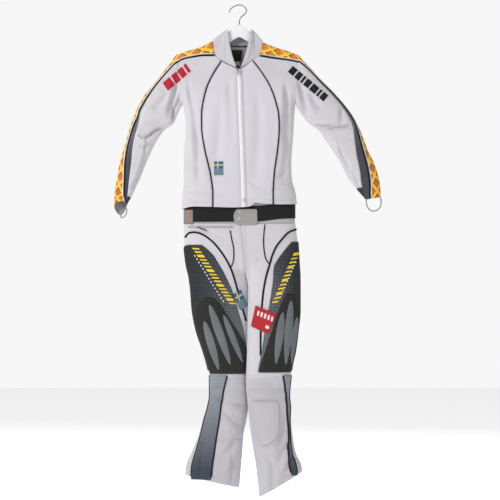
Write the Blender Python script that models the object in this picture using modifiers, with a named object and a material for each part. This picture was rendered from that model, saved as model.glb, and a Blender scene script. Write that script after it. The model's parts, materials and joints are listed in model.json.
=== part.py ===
"""One-piece outdoor suit on its hanger: a race suit of sewn panels, hung by the wire hook.

Metres, +Z up. The origin is the inside top of the hook, where a rail or nail carries it.
The front of the suit faces -Y. Right and left are the wearer's, so right is at -X.
Each cloth piece is a wall between an outer and an inner surface. Both come from the same
tables of half widths and half depths, so neighbouring pieces meet along one seam.
"""

import math

import bmesh
import bpy
from mathutils import Matrix, Vector

SUIT = "one_piece_suit_on_hanger"

# Cloth, seams and trim
WALL = 0.0016          # thickness of the quilted knit
SEAM = 0.0004          # gap left between two sewn pieces
LIFT = 0.0005          # height of a sewn-on piece's underside over its panel
LEG_LIFT = 0.0009      # the same on the legs, whose panels bend more
THIGH_LIFT = 0.0014    # the same under the thigh panel, which crosses the side seam
TRIM = 0.0010          # thickness of a sewn-on patch or mesh panel
PIPING_WIDTH = 0.0036
PIPING_HEIGHT = 0.0016

# Body
ARMPIT = -0.316        # height of the underarm point
ARMPIT_ROUND = 0.080   # height over which the armhole opens above that point
SLEEVE_SHARE = 0.80    # armhole depth, as a share of the body's depth beside it
SQUARENESS = 4.0       # 2 is an ellipse, 4 a flat front with rounded sides
RIDGE_HALF = 0.0090    # half thickness of the cloth where it lies over the hanger
RIDGE_ROUND = 0.0100
SHOULDER_FALL = 0.125  # height over which the cloth widens below the hanger

# Waist: trouser band, elastic belt over it, and the upper part's hem outermost
WAIST_CENTRE = 0.0010
WAIST_HALF_WIDTH = 0.1765
WAIST_HALF_DEPTH = 0.0330
BAND_JOIN = -0.602     # where the band is sewn to the inside of the upper part
BAND_TOP = -0.626
BAND_BOTTOM = -0.6970
JOIN_GAP = 0.0019      # from the upper part's inside to the band's sewn edge
BELT_HEIGHT = 0.050
BELT_THICKNESS = 0.0018
BELT_LIFT = 0.0005
TAB_LIFT = BELT_LIFT + BELT_THICKNESS + 0.0005
TAB_THICKNESS = 0.0012

# Hanger
WIRE = 0.0032          # hook wire diameter
HANGER_HALF = 0.0035   # half thickness of the shoulder arms
ARM_DEPTH = 0.016      # height of a hanger arm
HANGER_GAP = 0.0009    # from the cloth's inside down to the hanger
NECK_DROP = 0.0030     # how much lower the hanger runs inside the collar

# Zip
TAPE_WIDTH = 0.011
SLIDER = (0.0085, 0.0042, 0.0130)   # width, depth, height
PULL = (0.0060, 0.0014, 0.0200)
PULL_HINGE = 0.0005     # how far the pull reaches above its hinge
HINGE_ABOVE = 0.0035    # height of that hinge over the middle of the slider
AIR = 0.0004            # clearance between hard pieces that touch on the real suit
HEM_SNAP_RADIUS = 0.0062
BELT_SNAP_RADIUS = 0.0052
SNAP_HEIGHT = 0.0022
SNAP_DOME = 0.72        # radius of a snap's front face, as a share of its back

# height, right side x, left side x, half depth
TORSO = (
    (-0.100, -0.206, 0.186, 0.020),
    (-0.157, -0.201, 0.188, 0.023),
    (-0.236, -0.191, 0.183, 0.029),
    (-0.316, -0.1805, 0.1790, 0.035),
    (-0.341, -0.1755, 0.1770, 0.036),
    (-0.366, -0.1720, 0.1750, 0.036),
    (-0.414, -0.1720, 0.1730, 0.036),
    (-0.462, -0.1760, 0.1690, 0.036),
    (-0.510, -0.1770, 0.1665, 0.036),
    (-0.558, -0.1770, 0.1690, 0.038),
    (-0.603, -0.1815, 0.1810, 0.041),
    (-0.660, -0.1850, 0.1865, 0.0425),
)
# x, height of the shoulder line over the hanger
SHOULDER = (
    (-0.201, -0.1570), (-0.163, -0.1450), (-0.114, -0.1290), (-0.086, -0.1140), (-0.040, -0.1040),
    (0.000, -0.1020), (0.040, -0.1060), (0.076, -0.1170), (0.101, -0.1285), (0.146, -0.1430), (0.188, -0.1580),
)
# x, height of the seam where the front meets the overarm strip and the collar
FRONT_TOP = (
    (-0.201, -0.1850), (-0.184, -0.1730), (-0.147, -0.1645), (-0.114, -0.1600), (-0.080, -0.1600),
    (-0.055, -0.1795), (-0.023, -0.1955), (-0.004, -0.2035), (0.002, -0.2035), (0.018, -0.1950),
    (0.042, -0.1765), (0.065, -0.1620), (0.099, -0.1670), (0.136, -0.1720), (0.176, -0.1780), (0.188, -0.1820),
)
# x, height of the same seam on the back
BACK_TOP = (
    (-0.201, -0.1850), (-0.184, -0.1730), (-0.147, -0.1645), (-0.114, -0.1590), (-0.0785, -0.1500),
    (-0.050, -0.1300), (0.000, -0.1330), (0.045, -0.1310), (0.0655, -0.1520),
    (0.099, -0.1670), (0.136, -0.1720), (0.176, -0.1780), (0.188, -0.1820),
)
# x, height of the upper part's hem
HEM = (
    (-0.185, -0.6520), (-0.148, -0.6440), (-0.093, -0.6450), (-0.022, -0.6470), (0.012, -0.6460),
    (0.036, -0.6430), (0.052, -0.6310), (0.078, -0.6350), (0.135, -0.6370), (0.186, -0.6360),
)
# height, x of the right princess seam, of the zip, of the left princess seam
SEAMS = (
    (-0.176, -0.055, -0.004, 0.042),
    (-0.219, -0.082, -0.002, 0.074),
    (-0.260, -0.102, 0.000, 0.098),
    (-0.305, -0.114, 0.001, 0.115),
    (-0.350, -0.120, 0.003, 0.125),
    (-0.391, -0.120, 0.004, 0.127),
    (-0.460, -0.110, 0.007, 0.122),
    (-0.544, -0.091, 0.010, 0.111),
    (-0.604, -0.084, 0.012, 0.108),
    (-0.660, -0.084, 0.013, 0.108),
)
# Soft folds of the hanging body: x and height of the two ends, depth, half width, face (+1 front)
BODY_FOLDS = (
    (-0.158, -0.262, -0.140, -0.470, 0.0050, 0.011, 1),
    (0.148, -0.262, 0.158, -0.462, 0.0050, 0.011, 1),
    (-0.150, -0.330, -0.080, -0.560, 0.0040, 0.016, -1),
    (0.145, -0.300, 0.090, -0.520, 0.0040, 0.016, -1),
    (0.010, -0.320, -0.020, -0.480, 0.0035, 0.014, -1),
)

# Sleeve stations from armhole to cuff: outer x and z, underarm x and z, half depth,
# share of the width taken by the overarm strip, and by the strip with the mesh stripe
ARM = {
    "right": (
        (-0.201, -0.157, -0.181, -0.316, 0.020, 0.167, 0.167),
        (-0.238, -0.206, -0.187, -0.326, 0.022, 0.085, 0.085),
        (-0.273, -0.250, -0.197, -0.347, 0.024, 0.065, 0.077),
        (-0.302, -0.286, -0.212, -0.379, 0.025, 0.085, 0.120),
        (-0.327, -0.331, -0.238, -0.398, 0.025, 0.085, 0.140),
        (-0.347, -0.382, -0.260, -0.427, 0.024, 0.095, 0.210),
        (-0.363, -0.437, -0.284, -0.472, 0.022, 0.105, 0.290),
        (-0.379, -0.491, -0.303, -0.518, 0.020, 0.190, 0.440),
        (-0.390, -0.549, -0.324, -0.568, 0.018, 0.350, 0.570),
        (-0.399, -0.603, -0.345, -0.613, 0.016, 0.580, 0.770),
        (-0.400, -0.638, -0.358, -0.637, 0.014, 0.800, 0.900),
        (-0.393, -0.670, -0.367, -0.666, 0.011, 0.860, 0.930),
    ),
    "left": (
        (0.188, -0.158, 0.179, -0.316, 0.020, 0.150, 0.150),
        (0.223, -0.195, 0.187, -0.331, 0.022, 0.065, 0.065),
        (0.261, -0.237, 0.203, -0.354, 0.024, 0.045, 0.057),
        (0.300, -0.275, 0.225, -0.379, 0.025, 0.040, 0.072),
        (0.337, -0.318, 0.252, -0.398, 0.025, 0.040, 0.085),
        (0.370, -0.365, 0.274, -0.429, 0.024, 0.045, 0.115),
        (0.393, -0.414, 0.300, -0.466, 0.022, 0.100, 0.260),
        (0.413, -0.466, 0.325, -0.506, 0.020, 0.170, 0.420),
        (0.436, -0.518, 0.346, -0.549, 0.018, 0.270, 0.550),
        (0.450, -0.573, 0.373, -0.586, 0.016, 0.420, 0.750),
        (0.453, -0.613, 0.405, -0.621, 0.014, 0.700, 0.880),
    ),
}
CUFF_SEAM = 9          # station where the cuff gusset is sewn on
STRIPE_START = 2       # station where the mesh stripes begin
# station where the cuff ends at its middle, and how much lower the back of it ends
CUFF_END = {"right": (10.35, 0.75), "left": (10.0, 0.0)}

# Trouser legs: height, right outer x, right inner x, left inner x, left outer x,
# half depth, shift of the two legs apart in y, wrap of the section in degrees, squareness
LEGS = (
    (-0.6975, -0.1780, 0.0033, 0.0037, 0.1795, 0.0335, 0.000, 90, 4.0),
    (-0.766, -0.1770, 0.0123, 0.0127, 0.1880, 0.0350, 0.000, 90, 3.6),
    (-0.800, -0.1740, 0.0158, 0.0162, 0.1900, 0.0360, 0.000, 96, 3.3),
    (-0.835, -0.1690, 0.0198, 0.0202, 0.1920, 0.0370, 0.001, 125, 2.8),
    (-0.869, -0.1610, 0.0250, 0.0262, 0.1940, 0.0375, 0.004, 180, 2.3),
    (-0.910, -0.1560, 0.0305, 0.0280, 0.1940, 0.0375, 0.012, 180, 2.0),
    (-0.974, -0.1510, 0.0345, 0.0265, 0.1940, 0.0370, 0.0150, 180, 2.0),
    (-1.038, -0.1390, 0.0340, 0.0250, 0.1880, 0.0360, 0.0150, 180, 2.0),
    (-1.102, -0.1180, 0.0335, 0.0240, 0.1800, 0.0350, 0.0150, 180, 2.0),
    (-1.154, -0.1030, 0.0290, 0.0220, 0.1690, 0.0340, 0.0145, 180, 2.0),
    (-1.198, -0.0950, 0.0260, 0.0205, 0.1640, 0.0340, 0.0135, 180, 2.0),
    (-1.246, -0.0950, 0.0280, 0.0230, 0.1600, 0.0345, 0.0130, 180, 2.0),
    (-1.288, -0.1030, 0.0285, 0.0280, 0.1640, 0.0355, 0.0120, 180, 2.0),
    (-1.326, -0.1160, 0.0230, 0.0320, 0.1650, 0.0370, 0.0110, 180, 2.0),
    (-1.378, -0.1320, 0.0130, 0.0380, 0.1710, 0.0390, 0.0100, 180, 2.0),
    (-1.429, -0.1530, 0.0100, 0.0460, 0.1810, 0.0410, 0.0100, 180, 2.0),
    (-1.474, -0.1710, 0.0060, 0.0530, 0.2000, 0.0430, 0.0100, 180, 2.0),
    (-1.580, -0.1800, -0.0020, 0.0640, 0.2120, 0.0450, 0.0100, 180, 2.0),
)
LEG_HEM = {"right": (-1.502, -1.542), "left": (-1.489, -1.571)}   # outer and inner height
LEG_COLUMNS = 10

# Dark thigh panel: height, its outer edge as a turn past the side seam or an x, and its inner edge x
THIGH = {
    "right": (
        (-0.766, None, -0.119), (-0.776, None, -0.106), (-0.787, None, -0.094), (-0.800, None, -0.082),
        (-0.817, None, -0.071), (-0.835, None, -0.060), (-0.852, None, -0.0505),
        (-0.869, None, -0.042), (-0.910, None, -0.024), (-0.974, None, -0.005), (-1.038, None, 0.0130),
        (-1.102, None, 0.0215), (-1.154, None, 0.0215), (-1.168, None, 0.0210),
    ),
    "left": (
        (-0.756, None, 0.167), (-0.766, None, 0.158), (-0.783, None, 0.144), (-0.800, None, 0.131),
        (-0.817, None, 0.1195), (-0.835, None, 0.1105), (-0.852, None, 0.1085),
        (-0.869, None, 0.108), (-0.910, None, 0.103), (-0.974, None, 0.0925), (-1.038, None, 0.0815),
        (-1.102, None, 0.0720), (-1.154, None, 0.0620), (-1.168, None, 0.0600),
    ),
}
THIGH_TURN = -14.0     # degrees the thigh panel reaches behind the side seam
# Knee guard: height, outer edge x, inner edge x
GUARD = {
    "right": (
        (-0.934, -0.106, -0.084), (-0.946, -0.122, -0.068), (-0.960, -0.129, -0.058), (-0.974, -0.133, -0.049),
        (-0.995, -0.135, -0.036), (-1.016, -0.134, -0.022), (-1.038, -0.130, -0.008), (-1.060, -0.1260, 0.0050),
        (-1.081, -0.1190, 0.0155), (-1.102, -0.1130, 0.0220), (-1.128, -0.1050, 0.0225), (-1.154, -0.0975, 0.0220),
        (-1.178, -0.0920, 0.0225),
    ),
    "left": (
        (-0.921, 0.166, 0.152), (-0.930, 0.176, 0.146), (-0.942, 0.182, 0.139), (-0.958, 0.188, 0.131),
        (-0.974, 0.190, 0.125), (-0.995, 0.189, 0.118), (-1.016, 0.187, 0.111), (-1.038, 0.184, 0.104),
        (-1.070, 0.179, 0.093), (-1.102, 0.174, 0.083), (-1.128, 0.169, 0.074), (-1.154, 0.165, 0.066),
        (-1.172, 0.163, 0.061),
    ),
}
# Raised ribs of a guard: top x and z, bottom x and z, half width
RIBS = {
    "right": ((-0.110, -1.008, -0.064, -1.166, 0.0125), (-0.094, -0.955, -0.028, -1.150, 0.0135),
              (-0.050, -0.988, 0.009, -1.142, 0.0105)),
    "left": ((0.138, -0.979, 0.116, -1.146, 0.0120), (0.164, -0.942, 0.146, -1.148, 0.0120),
             (0.181, -0.994, 0.163, -1.144, 0.0080)),
}
RIB_HEIGHT = 0.0028
GUARD_THICKNESS = 0.0016
# Shin pad: height, outer edge x, inner edge x
SHIN = {
    "right": ((-1.276, -0.010, 0.016), (-1.300, -0.019, 0.016), (-1.326, -0.026, 0.012),
              (-1.352, -0.028, 0.008), (-1.372, -0.022, 0.006), (-1.388, -0.004, 0.004)),
    "left": ((-1.262, 0.124, 0.042), (-1.288, 0.127, 0.040), (-1.326, 0.127, 0.044), (-1.352, 0.1265, 0.0480),
             (-1.378, 0.119, 0.0530), (-1.397, 0.098, 0.0620), (-1.405, 0.083, 0.0710)),
}
SHIN_BASE = 0.0011     # height of its underside over the leg
SHIN_EDGE = 0.0010     # thickness along its edge
SHIN_HEIGHT = 0.0030   # how much more it bulges in its middle
# Grey stripe down the outside of the lower leg: height, front edge x
STRIPE = {
    "right": ((-1.192, -0.041), (-1.221, -0.048), (-1.246, -0.053), (-1.288, -0.0590), (-1.326, -0.0640),
              (-1.378, -0.0730), (-1.429, -0.0800), (-1.474, -0.0865), (-1.515, -0.0900)),
    "left": ((-1.192, 0.141), (-1.221, 0.146), (-1.246, 0.149), (-1.288, 0.1515), (-1.326, 0.1540),
             (-1.378, 0.1580), (-1.429, 0.1560), (-1.474, 0.1620), (-1.500, 0.1660)),
}
STRIPE_TURNS = (4.0, 40.4)   # degrees from the side seam to the stripe's rear edge, at its top and foot

# Curved piping on the thighs: height, x
THIGH_PIPING = {
    "right": ((-0.742, -0.138), (-0.766, -0.079), (-0.800, -0.051), (-0.835, -0.030), (-0.869, -0.018),
              (-0.910, -0.006), (-0.974, 0.0110), (-1.010, 0.0215)),
    "left": ((-0.728, 0.154), (-0.746, 0.138), (-0.766, 0.122), (-0.800, 0.105), (-0.835, 0.095),
             (-0.869, 0.085), (-0.910, 0.078), (-0.974, 0.0715), (-1.038, 0.0685), (-1.102, 0.0680)),
}

# Collar stations from the front edge to the middle of the back: base x, z; top x, y, z
COLLAR = {
    "right": (
        (-0.0090, -0.2006, -0.0370, -0.0100, -0.0770),
        (-0.0330, -0.1890, -0.0405, -0.0100, -0.0770),
        (-0.0560, -0.1770, -0.0430, -0.0080, -0.0785),
        (-0.0770, -0.1580, -0.0445, -0.0055, -0.0795),
        (-0.0835, -0.1220, -0.0455, -0.0025, -0.0805),
        (-0.0855, -0.1125, -0.0460, 0.0010, -0.0810),
        (-0.0835, -0.1220, -0.0455, 0.0040, -0.0820),
        (-0.0765, -0.1450, -0.0420, 0.0080, -0.0835),
        (-0.0480, -0.1265, -0.0280, 0.0125, -0.0860),
    ),
    "left": (
        (0.0035, -0.2015, 0.0370, -0.0100, -0.0780),
        (0.0240, -0.1890, 0.0400, -0.0100, -0.0780),
        (0.0430, -0.1745, 0.0425, -0.0080, -0.0790),
        (0.0640, -0.1600, 0.0435, -0.0055, -0.0800),
        (0.0735, -0.1250, 0.0445, -0.0025, -0.0810),
        (0.0755, -0.1155, 0.0450, 0.0010, -0.0815),
        (0.0735, -0.1250, 0.0445, 0.0040, -0.0825),
        (0.0640, -0.1465, 0.0410, 0.0080, -0.0840),
        (0.0430, -0.1275, 0.0270, 0.0125, -0.0865),
    ),
}
COLLAR_BACK = (0.000, -0.1300, 0.000, 0.0150, -0.0880)
COLLAR_RIDGE = 5       # station of the collar that lies on the shoulder line
COLLAR_BOW = 0.0050    # how far the collar bulges out between base and top
NECK_MIDDLE = 0.004    # y of the middle of the neck opening
LABEL_LIFT = 0.0004    # how far the neck label hangs off the inside of the back
TAG_LIFT = 0.0012      # the same for the size tag, where the back curves more


def between(low, high, share):
    return low + (high - low) * share


def smooth(share):
    share = min(1.0, max(0.0, share))
    return share * share * (3.0 - 2.0 * share)


def bulge(cosine, squareness):
    return math.sqrt(max(0.0, 1.0 - min(1.0, abs(cosine)) ** squareness))


def read_row(table, key):
    """The columns of a table at a key, straight between its rows. The key is the first column."""
    rows = table if table[0][0] < table[-1][0] else tuple(reversed(table))
    key = min(max(key, rows[0][0]), rows[-1][0])
    for low, high in zip(rows, rows[1:]):
        if key <= high[0]:
            break
    share = (key - low[0]) / (high[0] - low[0])
    return [between(a, b, share) for a, b in zip(low[1:], high[1:])]


def material(name, colour, roughness, metallic=0.0):
    made = bpy.data.materials.new(name)
    made.use_nodes = True
    shader = made.node_tree.nodes["Principled BSDF"]
    shader.inputs["Base Color"].default_value = (*colour, 1.0)
    shader.inputs["Roughness"].default_value = roughness
    shader.inputs["Metallic"].default_value = metallic
    made.diffuse_color = (*colour, 1.0)
    return made


PALE = ((0.58, 0.57, 0.62), 0.65)
GREY = ((0.42, 0.43, 0.45), 0.60)
BLACK = ((0.02, 0.02, 0.022), 0.55)
DARK = ((0.045, 0.05, 0.055), 0.70)
ORANGE = ((0.62, 0.20, 0.06), 0.60)
RED = ((0.45, 0.02, 0.03), 0.60)
BLUE = ((0.02, 0.11, 0.32), 0.60)
WHITE = ((0.80, 0.80, 0.82), 0.40)
CHROME = ((0.72, 0.72, 0.74), 0.25, 1.0)
STEEL = ((0.10, 0.10, 0.11), 0.35, 1.0)


def add_object(name, mesh, finish):
    made = bpy.data.objects.new(name, mesh)
    parts.objects.link(made)
    if finish is not None:
        mesh.materials.append(material(name, *finish))
    return made


def wall_of_rows(name, outer, inner, finish, closed=False):
    """A closed wall between two grids of points. A closed grid runs round a tube."""
    shape = bmesh.new()
    skins = [[[shape.verts.new(p) for p in row] for row in grid] for grid in (outer, inner)]
    columns = len(outer[0])
    steps = columns if closed else columns - 1
    for top, bottom in zip(range(len(outer) - 1), range(1, len(outer))):
        for i in range(steps):
            j = (i + 1) % columns
            for skin in skins:
                shape.faces.new((skin[top][i], skin[top][j], skin[bottom][j], skin[bottom][i]))
    front, back = skins
    for row in (0, -1):
        for i in range(steps):
            j = (i + 1) % columns
            shape.faces.new((front[row][i], front[row][j], back[row][j], back[row][i]))
    if not closed:
        for i in (0, -1):
            for top in range(len(outer) - 1):
                shape.faces.new((front[top][i], front[top + 1][i], back[top + 1][i], back[top][i]))
    bmesh.ops.recalc_face_normals(shape, faces=shape.faces)
    mesh = bpy.data.meshes.new(name)
    shape.to_mesh(mesh)
    shape.free()
    mesh.shade_smooth()
    mesh.set_sharp_from_angle(angle=math.radians(50))
    return add_object(name, mesh, finish)


def sew(name, surface, rows, columns, finish, bottom=-WALL, top=0.0, closed=False):
    """A wall on a surface. surface(row, column) gives a point and its outward normal.
    bottom and top are the heights of the wall's two skins. top may be a function of the point."""
    outer, inner = [], []
    for row in rows:
        placed = [surface(row, column) for column in columns]
        heights = [top(point) if callable(top) else top for point, _ in placed]
        outer.append([point + normal * rise for (point, normal), rise in zip(placed, heights)])
        inner.append([point + normal * bottom for point, normal in placed])
    return wall_of_rows(name, outer, inner, finish, closed)


def spread(count, low=0.0, high=1.0):
    return [between(low, high, i / count) for i in range(count + 1)]


# The body of the suit

def fold_depth(x, z, face):
    """How far the soft folds push the body's surface in at a place."""
    depth = 0.0
    for x0, z0, x1, z1, deep, half_width, side in BODY_FOLDS:
        if side != face:
            continue
        along = (z0 - z) / (z0 - z1)
        if -0.2 < along < 1.2:
            across = (x - between(x0, x1, along)) / half_width
            window = smooth((along + 0.2) / 0.5) * smooth((1.2 - along) / 0.5)
            depth += deep * window * math.exp(-across * across)
    return depth


def body_depth(x, z, face):
    """Distance of the body's surface from the middle plane."""
    right, left, deep = read_row(TORSO, z)
    centre, half = (right + left) / 2, (left - right) / 2
    across = min(1.0, abs(x - centre) / half)
    below = max(0.0, read_row(SHOULDER, x)[0] - z)
    open_side = 0.0
    if z > ARMPIT:
        open_side = SLEEVE_SHARE * bulge(1.0 - min(1.0, (z - ARMPIT) / ARMPIT_ROUND), 2.0)
    side = math.sqrt(max(0.0, 1.0 - (1.0 - open_side ** 2) * across ** SQUARENESS))
    cap = bulge(1.0 - min(1.0, below / RIDGE_ROUND), 2.0)
    fade = min(1.0, 4.0 * (1.0 - across))
    full = between(RIDGE_HALF, deep, smooth(below / SHOULDER_FALL))
    return cap * side * full - fold_depth(x, z, face) * fade


def body_place(x, z, face):
    """Point and outward normal of the body's surface. face is +1 on the front, -1 on the back."""
    right, left, _ = read_row(TORSO, z)
    deep = body_depth(x, z, face)
    point = Vector((x, -face * max(deep, SEAM / 2), z))
    outward = -1.0 if x < (right + left) / 2 else 1.0
    if deep < SEAM:
        return point, Vector((outward, 0.0, 0.0))
    step = 0.0008
    slope_x = (body_depth(x - outward * step, z, face) - deep) / (-outward * step)
    slope_z = (body_depth(x, z - step, face) - body_depth(x, z + step, face)) / (-2 * step)
    slope_x = min(8.0, max(-8.0, slope_x))
    slope_z = min(1.5, max(-1.5, slope_z))
    return point, Vector((-slope_x, -face, -slope_z)).normalized()


def side_x(column):
    return lambda z: read_row(TORSO, z)[column]


def seam_x(column, shift=0.0):
    return lambda z: read_row(SEAMS, z)[column] + shift


def body_panel(edge_a, edge_b, face, top_line, gap=SEAM / 2):
    """Surface of a body panel between two edges. Rows 0 to 1 reach the underarm, 1 to 2 the hem."""

    def surface(row, column):
        x, z = 0.0, ARMPIT
        for _ in range(8):
            right, left, _deep = read_row(TORSO, z)
            centre, half = (right + left) / 2, (left - right) / 2
            turns = [math.acos(min(1.0, max(-1.0, (centre - edge(z)) / half))) for edge in (edge_a, edge_b)]
            x = centre - half * math.cos(between(*turns, column))
            if row <= 1.0:
                z = between(read_row(top_line, x)[0] - gap, ARMPIT, row)
            else:
                z = between(ARMPIT, read_row(HEM, x)[0], row - 1.0)
        return body_place(x, z, face)

    return surface


BODY_ROWS = [0.0, 0.28, 0.55, 0.75, 0.88, 0.96, 1.0, 1.16, 1.33, 1.5, 1.68, 1.85, 2.0]


def column_at(surface, row, x):
    """The column of a panel that passes an x on a row."""
    low, high = 0.0, 1.0
    rising = surface(row, 1.0)[0].x > surface(row, 0.0)[0].x
    for _ in range(30):
        middle = (low + high) / 2
        if (surface(row, middle)[0].x < x) == rising:
            low = middle
        else:
            high = middle
    return (low + high) / 2


NECK_X = {"right": -0.0785, "left": 0.0655}   # where front, strip and collar meet
NECK_SHIFT = {"right": 0.0075, "left": -0.0110}   # how far the strip's neck edge bows out to the collar
PRINCESS = {"right": 0, "left": 2}
STRIP_ROWS = {}


def build_body():
    for side, column in (("right", 0), ("left", 1)):
        inward = 1.0 if side == "right" else -1.0
        princess = seam_x(PRINCESS[side], -inward * SEAM / 2)
        panel = body_panel(side_x(column), princess, 1, FRONT_TOP)
        neck = column_at(panel, 0.0, NECK_X[side])
        columns = [neck * share for share in (0.0, 0.13, 0.30, 0.52, 0.77, 1.0)] + [1.0]
        STRIP_ROWS[side] = [panel(0.0, c)[0].x for c in columns[:-1]]
        sew("front_side_" + side, panel, BODY_ROWS, columns, PALE)
        princess = seam_x(PRINCESS[side], inward * SEAM / 2)
        centre = body_panel(princess, seam_x(1, -inward * SEAM / 2), 1, FRONT_TOP)
        sew("front_centre_" + side, centre, BODY_ROWS, spread(4), PALE)
        edges = [seam_x(PRINCESS[side], shift * PIPING_WIDTH / 2) for shift in (-1, 1)]
        cord = body_panel(*edges, 1, FRONT_TOP, 0.003)
        sew("princess_piping_" + side, cord, BODY_ROWS, spread(1), BLACK, LIFT, LIFT + PIPING_HEIGHT)
    back = body_panel(side_x(0), side_x(1), -1, BACK_TOP)
    columns = [column_at(back, 0.0, x) for x in STRIP_ROWS["right"][1:]]
    columns += [column_at(back, 0.0, x) for x in (-0.050, -0.018, 0.014, 0.045)]
    columns += [column_at(back, 0.0, x) for x in reversed(STRIP_ROWS["left"][1:])]
    sew("back", back, BODY_ROWS, [0.0] + columns + [1.0], PALE)


def build_zip():
    tape = body_panel(seam_x(1, -TAPE_WIDTH / 2), seam_x(1, TAPE_WIDTH / 2), 1, FRONT_TOP, 0.004)
    sew("zip_tape", tape, BODY_ROWS, spread(2), WHITE, LIFT, LIFT + TRIM)
    place, _ = body_place(-0.0035, -0.2110, 1)
    forward = LIFT + TRIM + AIR + SLIDER[1] / 2
    slider = box("zip_slider", SLIDER, place - Vector((0.0, forward, 0.0)), CHROME, 0.0012)
    hinge = slider.location + Vector((0.0, -SLIDER[1] / 2 - AIR - PULL[1] / 2, HINGE_ABOVE))
    pull = box("zip_pull", PULL, hinge, CHROME, 0.0006)
    pull.data.transform(Matrix.Translation((0.0, 0.0, PULL_HINGE - PULL[2] / 2)))
    stud_place, stud_normal = body_place(0.0150, -0.6240, 1)
    stud("hem_snap", stud_place + stud_normal * (LIFT + TRIM + AIR), HEM_SNAP_RADIUS)
    return hinge


def box(name, size, centre, finish, rounding):
    bpy.ops.mesh.primitive_cube_add(size=1.0, location=centre)
    made = bpy.context.object
    made.name = name
    made.scale = size
    bpy.ops.object.transform_apply(location=False, rotation=False, scale=True)
    bevel = made.modifiers.new("rounded edges", "BEVEL")
    bevel.width = rounding
    bevel.segments = 1
    take(made, finish)
    return made


def take(made, finish):
    """Move a new primitive into the suit's collection and give it its material."""
    for holder in list(made.users_collection):
        holder.objects.unlink(made)
    parts.objects.link(made)
    made.data.name = made.name
    made.data.materials.append(material(made.name, *finish))


def stud(name, base, radius):
    """A domed snap, its flat back at base and its axis along Y."""
    bpy.ops.mesh.primitive_cone_add(
        vertices=16, radius1=radius, radius2=radius * SNAP_DOME, depth=SNAP_HEIGHT,
        location=base + Vector((0, -SNAP_HEIGHT / 2, 0)), rotation=(math.radians(90), 0, 0))
    made = bpy.context.object
    made.name = name
    take(made, CHROME)
    return made


# Sleeves and the strip over shoulder and arm

def ring_height(side):
    station = ARM[side][0]
    return station[1] - station[3]


def over_shoulder(side, x, turn):
    """Point and normal on the body in the plane of x, a turn away from the shoulder line."""
    ridge = read_row(SHOULDER, x)[0]

    def at(angle):
        z = ridge - ring_height(side) * (1.0 - math.cos(angle)) / 2
        face = 1 if angle >= 0 else -1
        return Vector((x, -face * body_depth(x, z, face), z))

    point = at(turn)
    step = 0.02
    run = at(turn + step) - at(turn - step)
    return point, Vector((0.0, run.z, -run.y)).normalized()


def arm_ring(side, station, turn):
    """Point and normal on one whole station of the sleeve."""
    outward = -1.0 if side == "right" else 1.0
    outer_x, outer_z, inner_x, inner_z, deep = ARM[side][station][:5]
    if station == 0:
        z = outer_z - (outer_z - inner_z) * (1.0 - math.cos(turn)) / 2
        x = read_row(TORSO, z)[0 if side == "right" else 1]
        step = 0.02

        def at(angle):
            height = outer_z - (outer_z - inner_z) * (1.0 - math.cos(angle)) / 2
            face = 1 if math.sin(angle) >= 0 else -1
            return Vector((x, -face * body_depth(x - outward * 1e-5, height, face), height))

        point = at(turn)
        run = at(turn + step) - at(turn - step)
        point.x += outward * SEAM
        return point, Vector((0.0, run.z, -run.y)).normalized()
    outer, inner = Vector((outer_x, 0, outer_z)), Vector((inner_x, 0, inner_z))
    across = (outer - inner) / 2
    forward = Vector((0, -deep, 0))
    point = (outer + inner) / 2 + across * math.cos(turn) + forward * math.sin(turn)
    normal = across.normalized() * deep * math.cos(turn) + Vector((0, -1, 0)) * across.length * math.sin(turn)
    return point, normal.normalized()


def arm_place(side, along, turn):
    low = min(int(along), len(ARM[side]) - 2)
    share = along - low
    point_a, normal_a = arm_ring(side, low, turn)
    point_b, normal_b = arm_ring(side, low + 1, turn)
    return point_a.lerp(point_b, share), normal_a.lerp(normal_b, share).normalized()


def share_turn(side, along, column):
    """The turn from the top of the arm to a seam, from that seam's share of the width."""
    low = min(int(along), len(ARM[side]) - 2)
    share = between(ARM[side][low][column], ARM[side][low + 1][column], along - low)
    return math.acos(1.0 - 2.0 * share)


STRIP, MESH = 5, 6     # columns of ARM with the two seams' shares
CLOTH_PER_TURN = 0.05  # metres of cloth in a turn of one radian, near the seam on the shoulder


def gap_turn(side, along):
    station = ARM[side][min(int(along), len(ARM[side]) - 1)]
    return SEAM / 2 / max(0.012, station[4])


def cuff_row(side, row, turn):
    """Rows past the cuff seam lean to the cuff's slanted end."""
    if row <= CUFF_SEAM:
        return row
    middle, slant = CUFF_END[side]
    end = middle - slant * math.sin(turn)
    return between(CUFF_SEAM, end, row - CUFF_SEAM)


def arm_strip(side, column, low_share, high_share):
    """Surface round the arm between two shares of the turn to a seam. Whole rows are stations."""

    def surface(row, across):
        seam = share_turn(side, min(row, len(ARM[side]) - 1.001), column)
        turn = between(low_share, high_share, across) * (seam - gap_turn(side, row))
        return arm_place(side, cuff_row(side, row, turn), turn)

    return surface


def build_arms():
    for side in ("right", "left"):
        build_overarm(side)
        build_sleeve(side)
        build_mesh_stripes(side)
        build_overarm_piping(side)
        build_hand_loop(side)


def shoulder_turn(side, x, face=1, gap=0.0):
    """The turn from the shoulder line to the strip's front or back seam, on the body."""
    seam = read_row(FRONT_TOP if face > 0 else BACK_TOP, x)[0]
    drop = read_row(SHOULDER, x)[0] - seam - gap
    return face * math.acos(1.0 - 2.0 * drop / ring_height(side))


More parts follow.
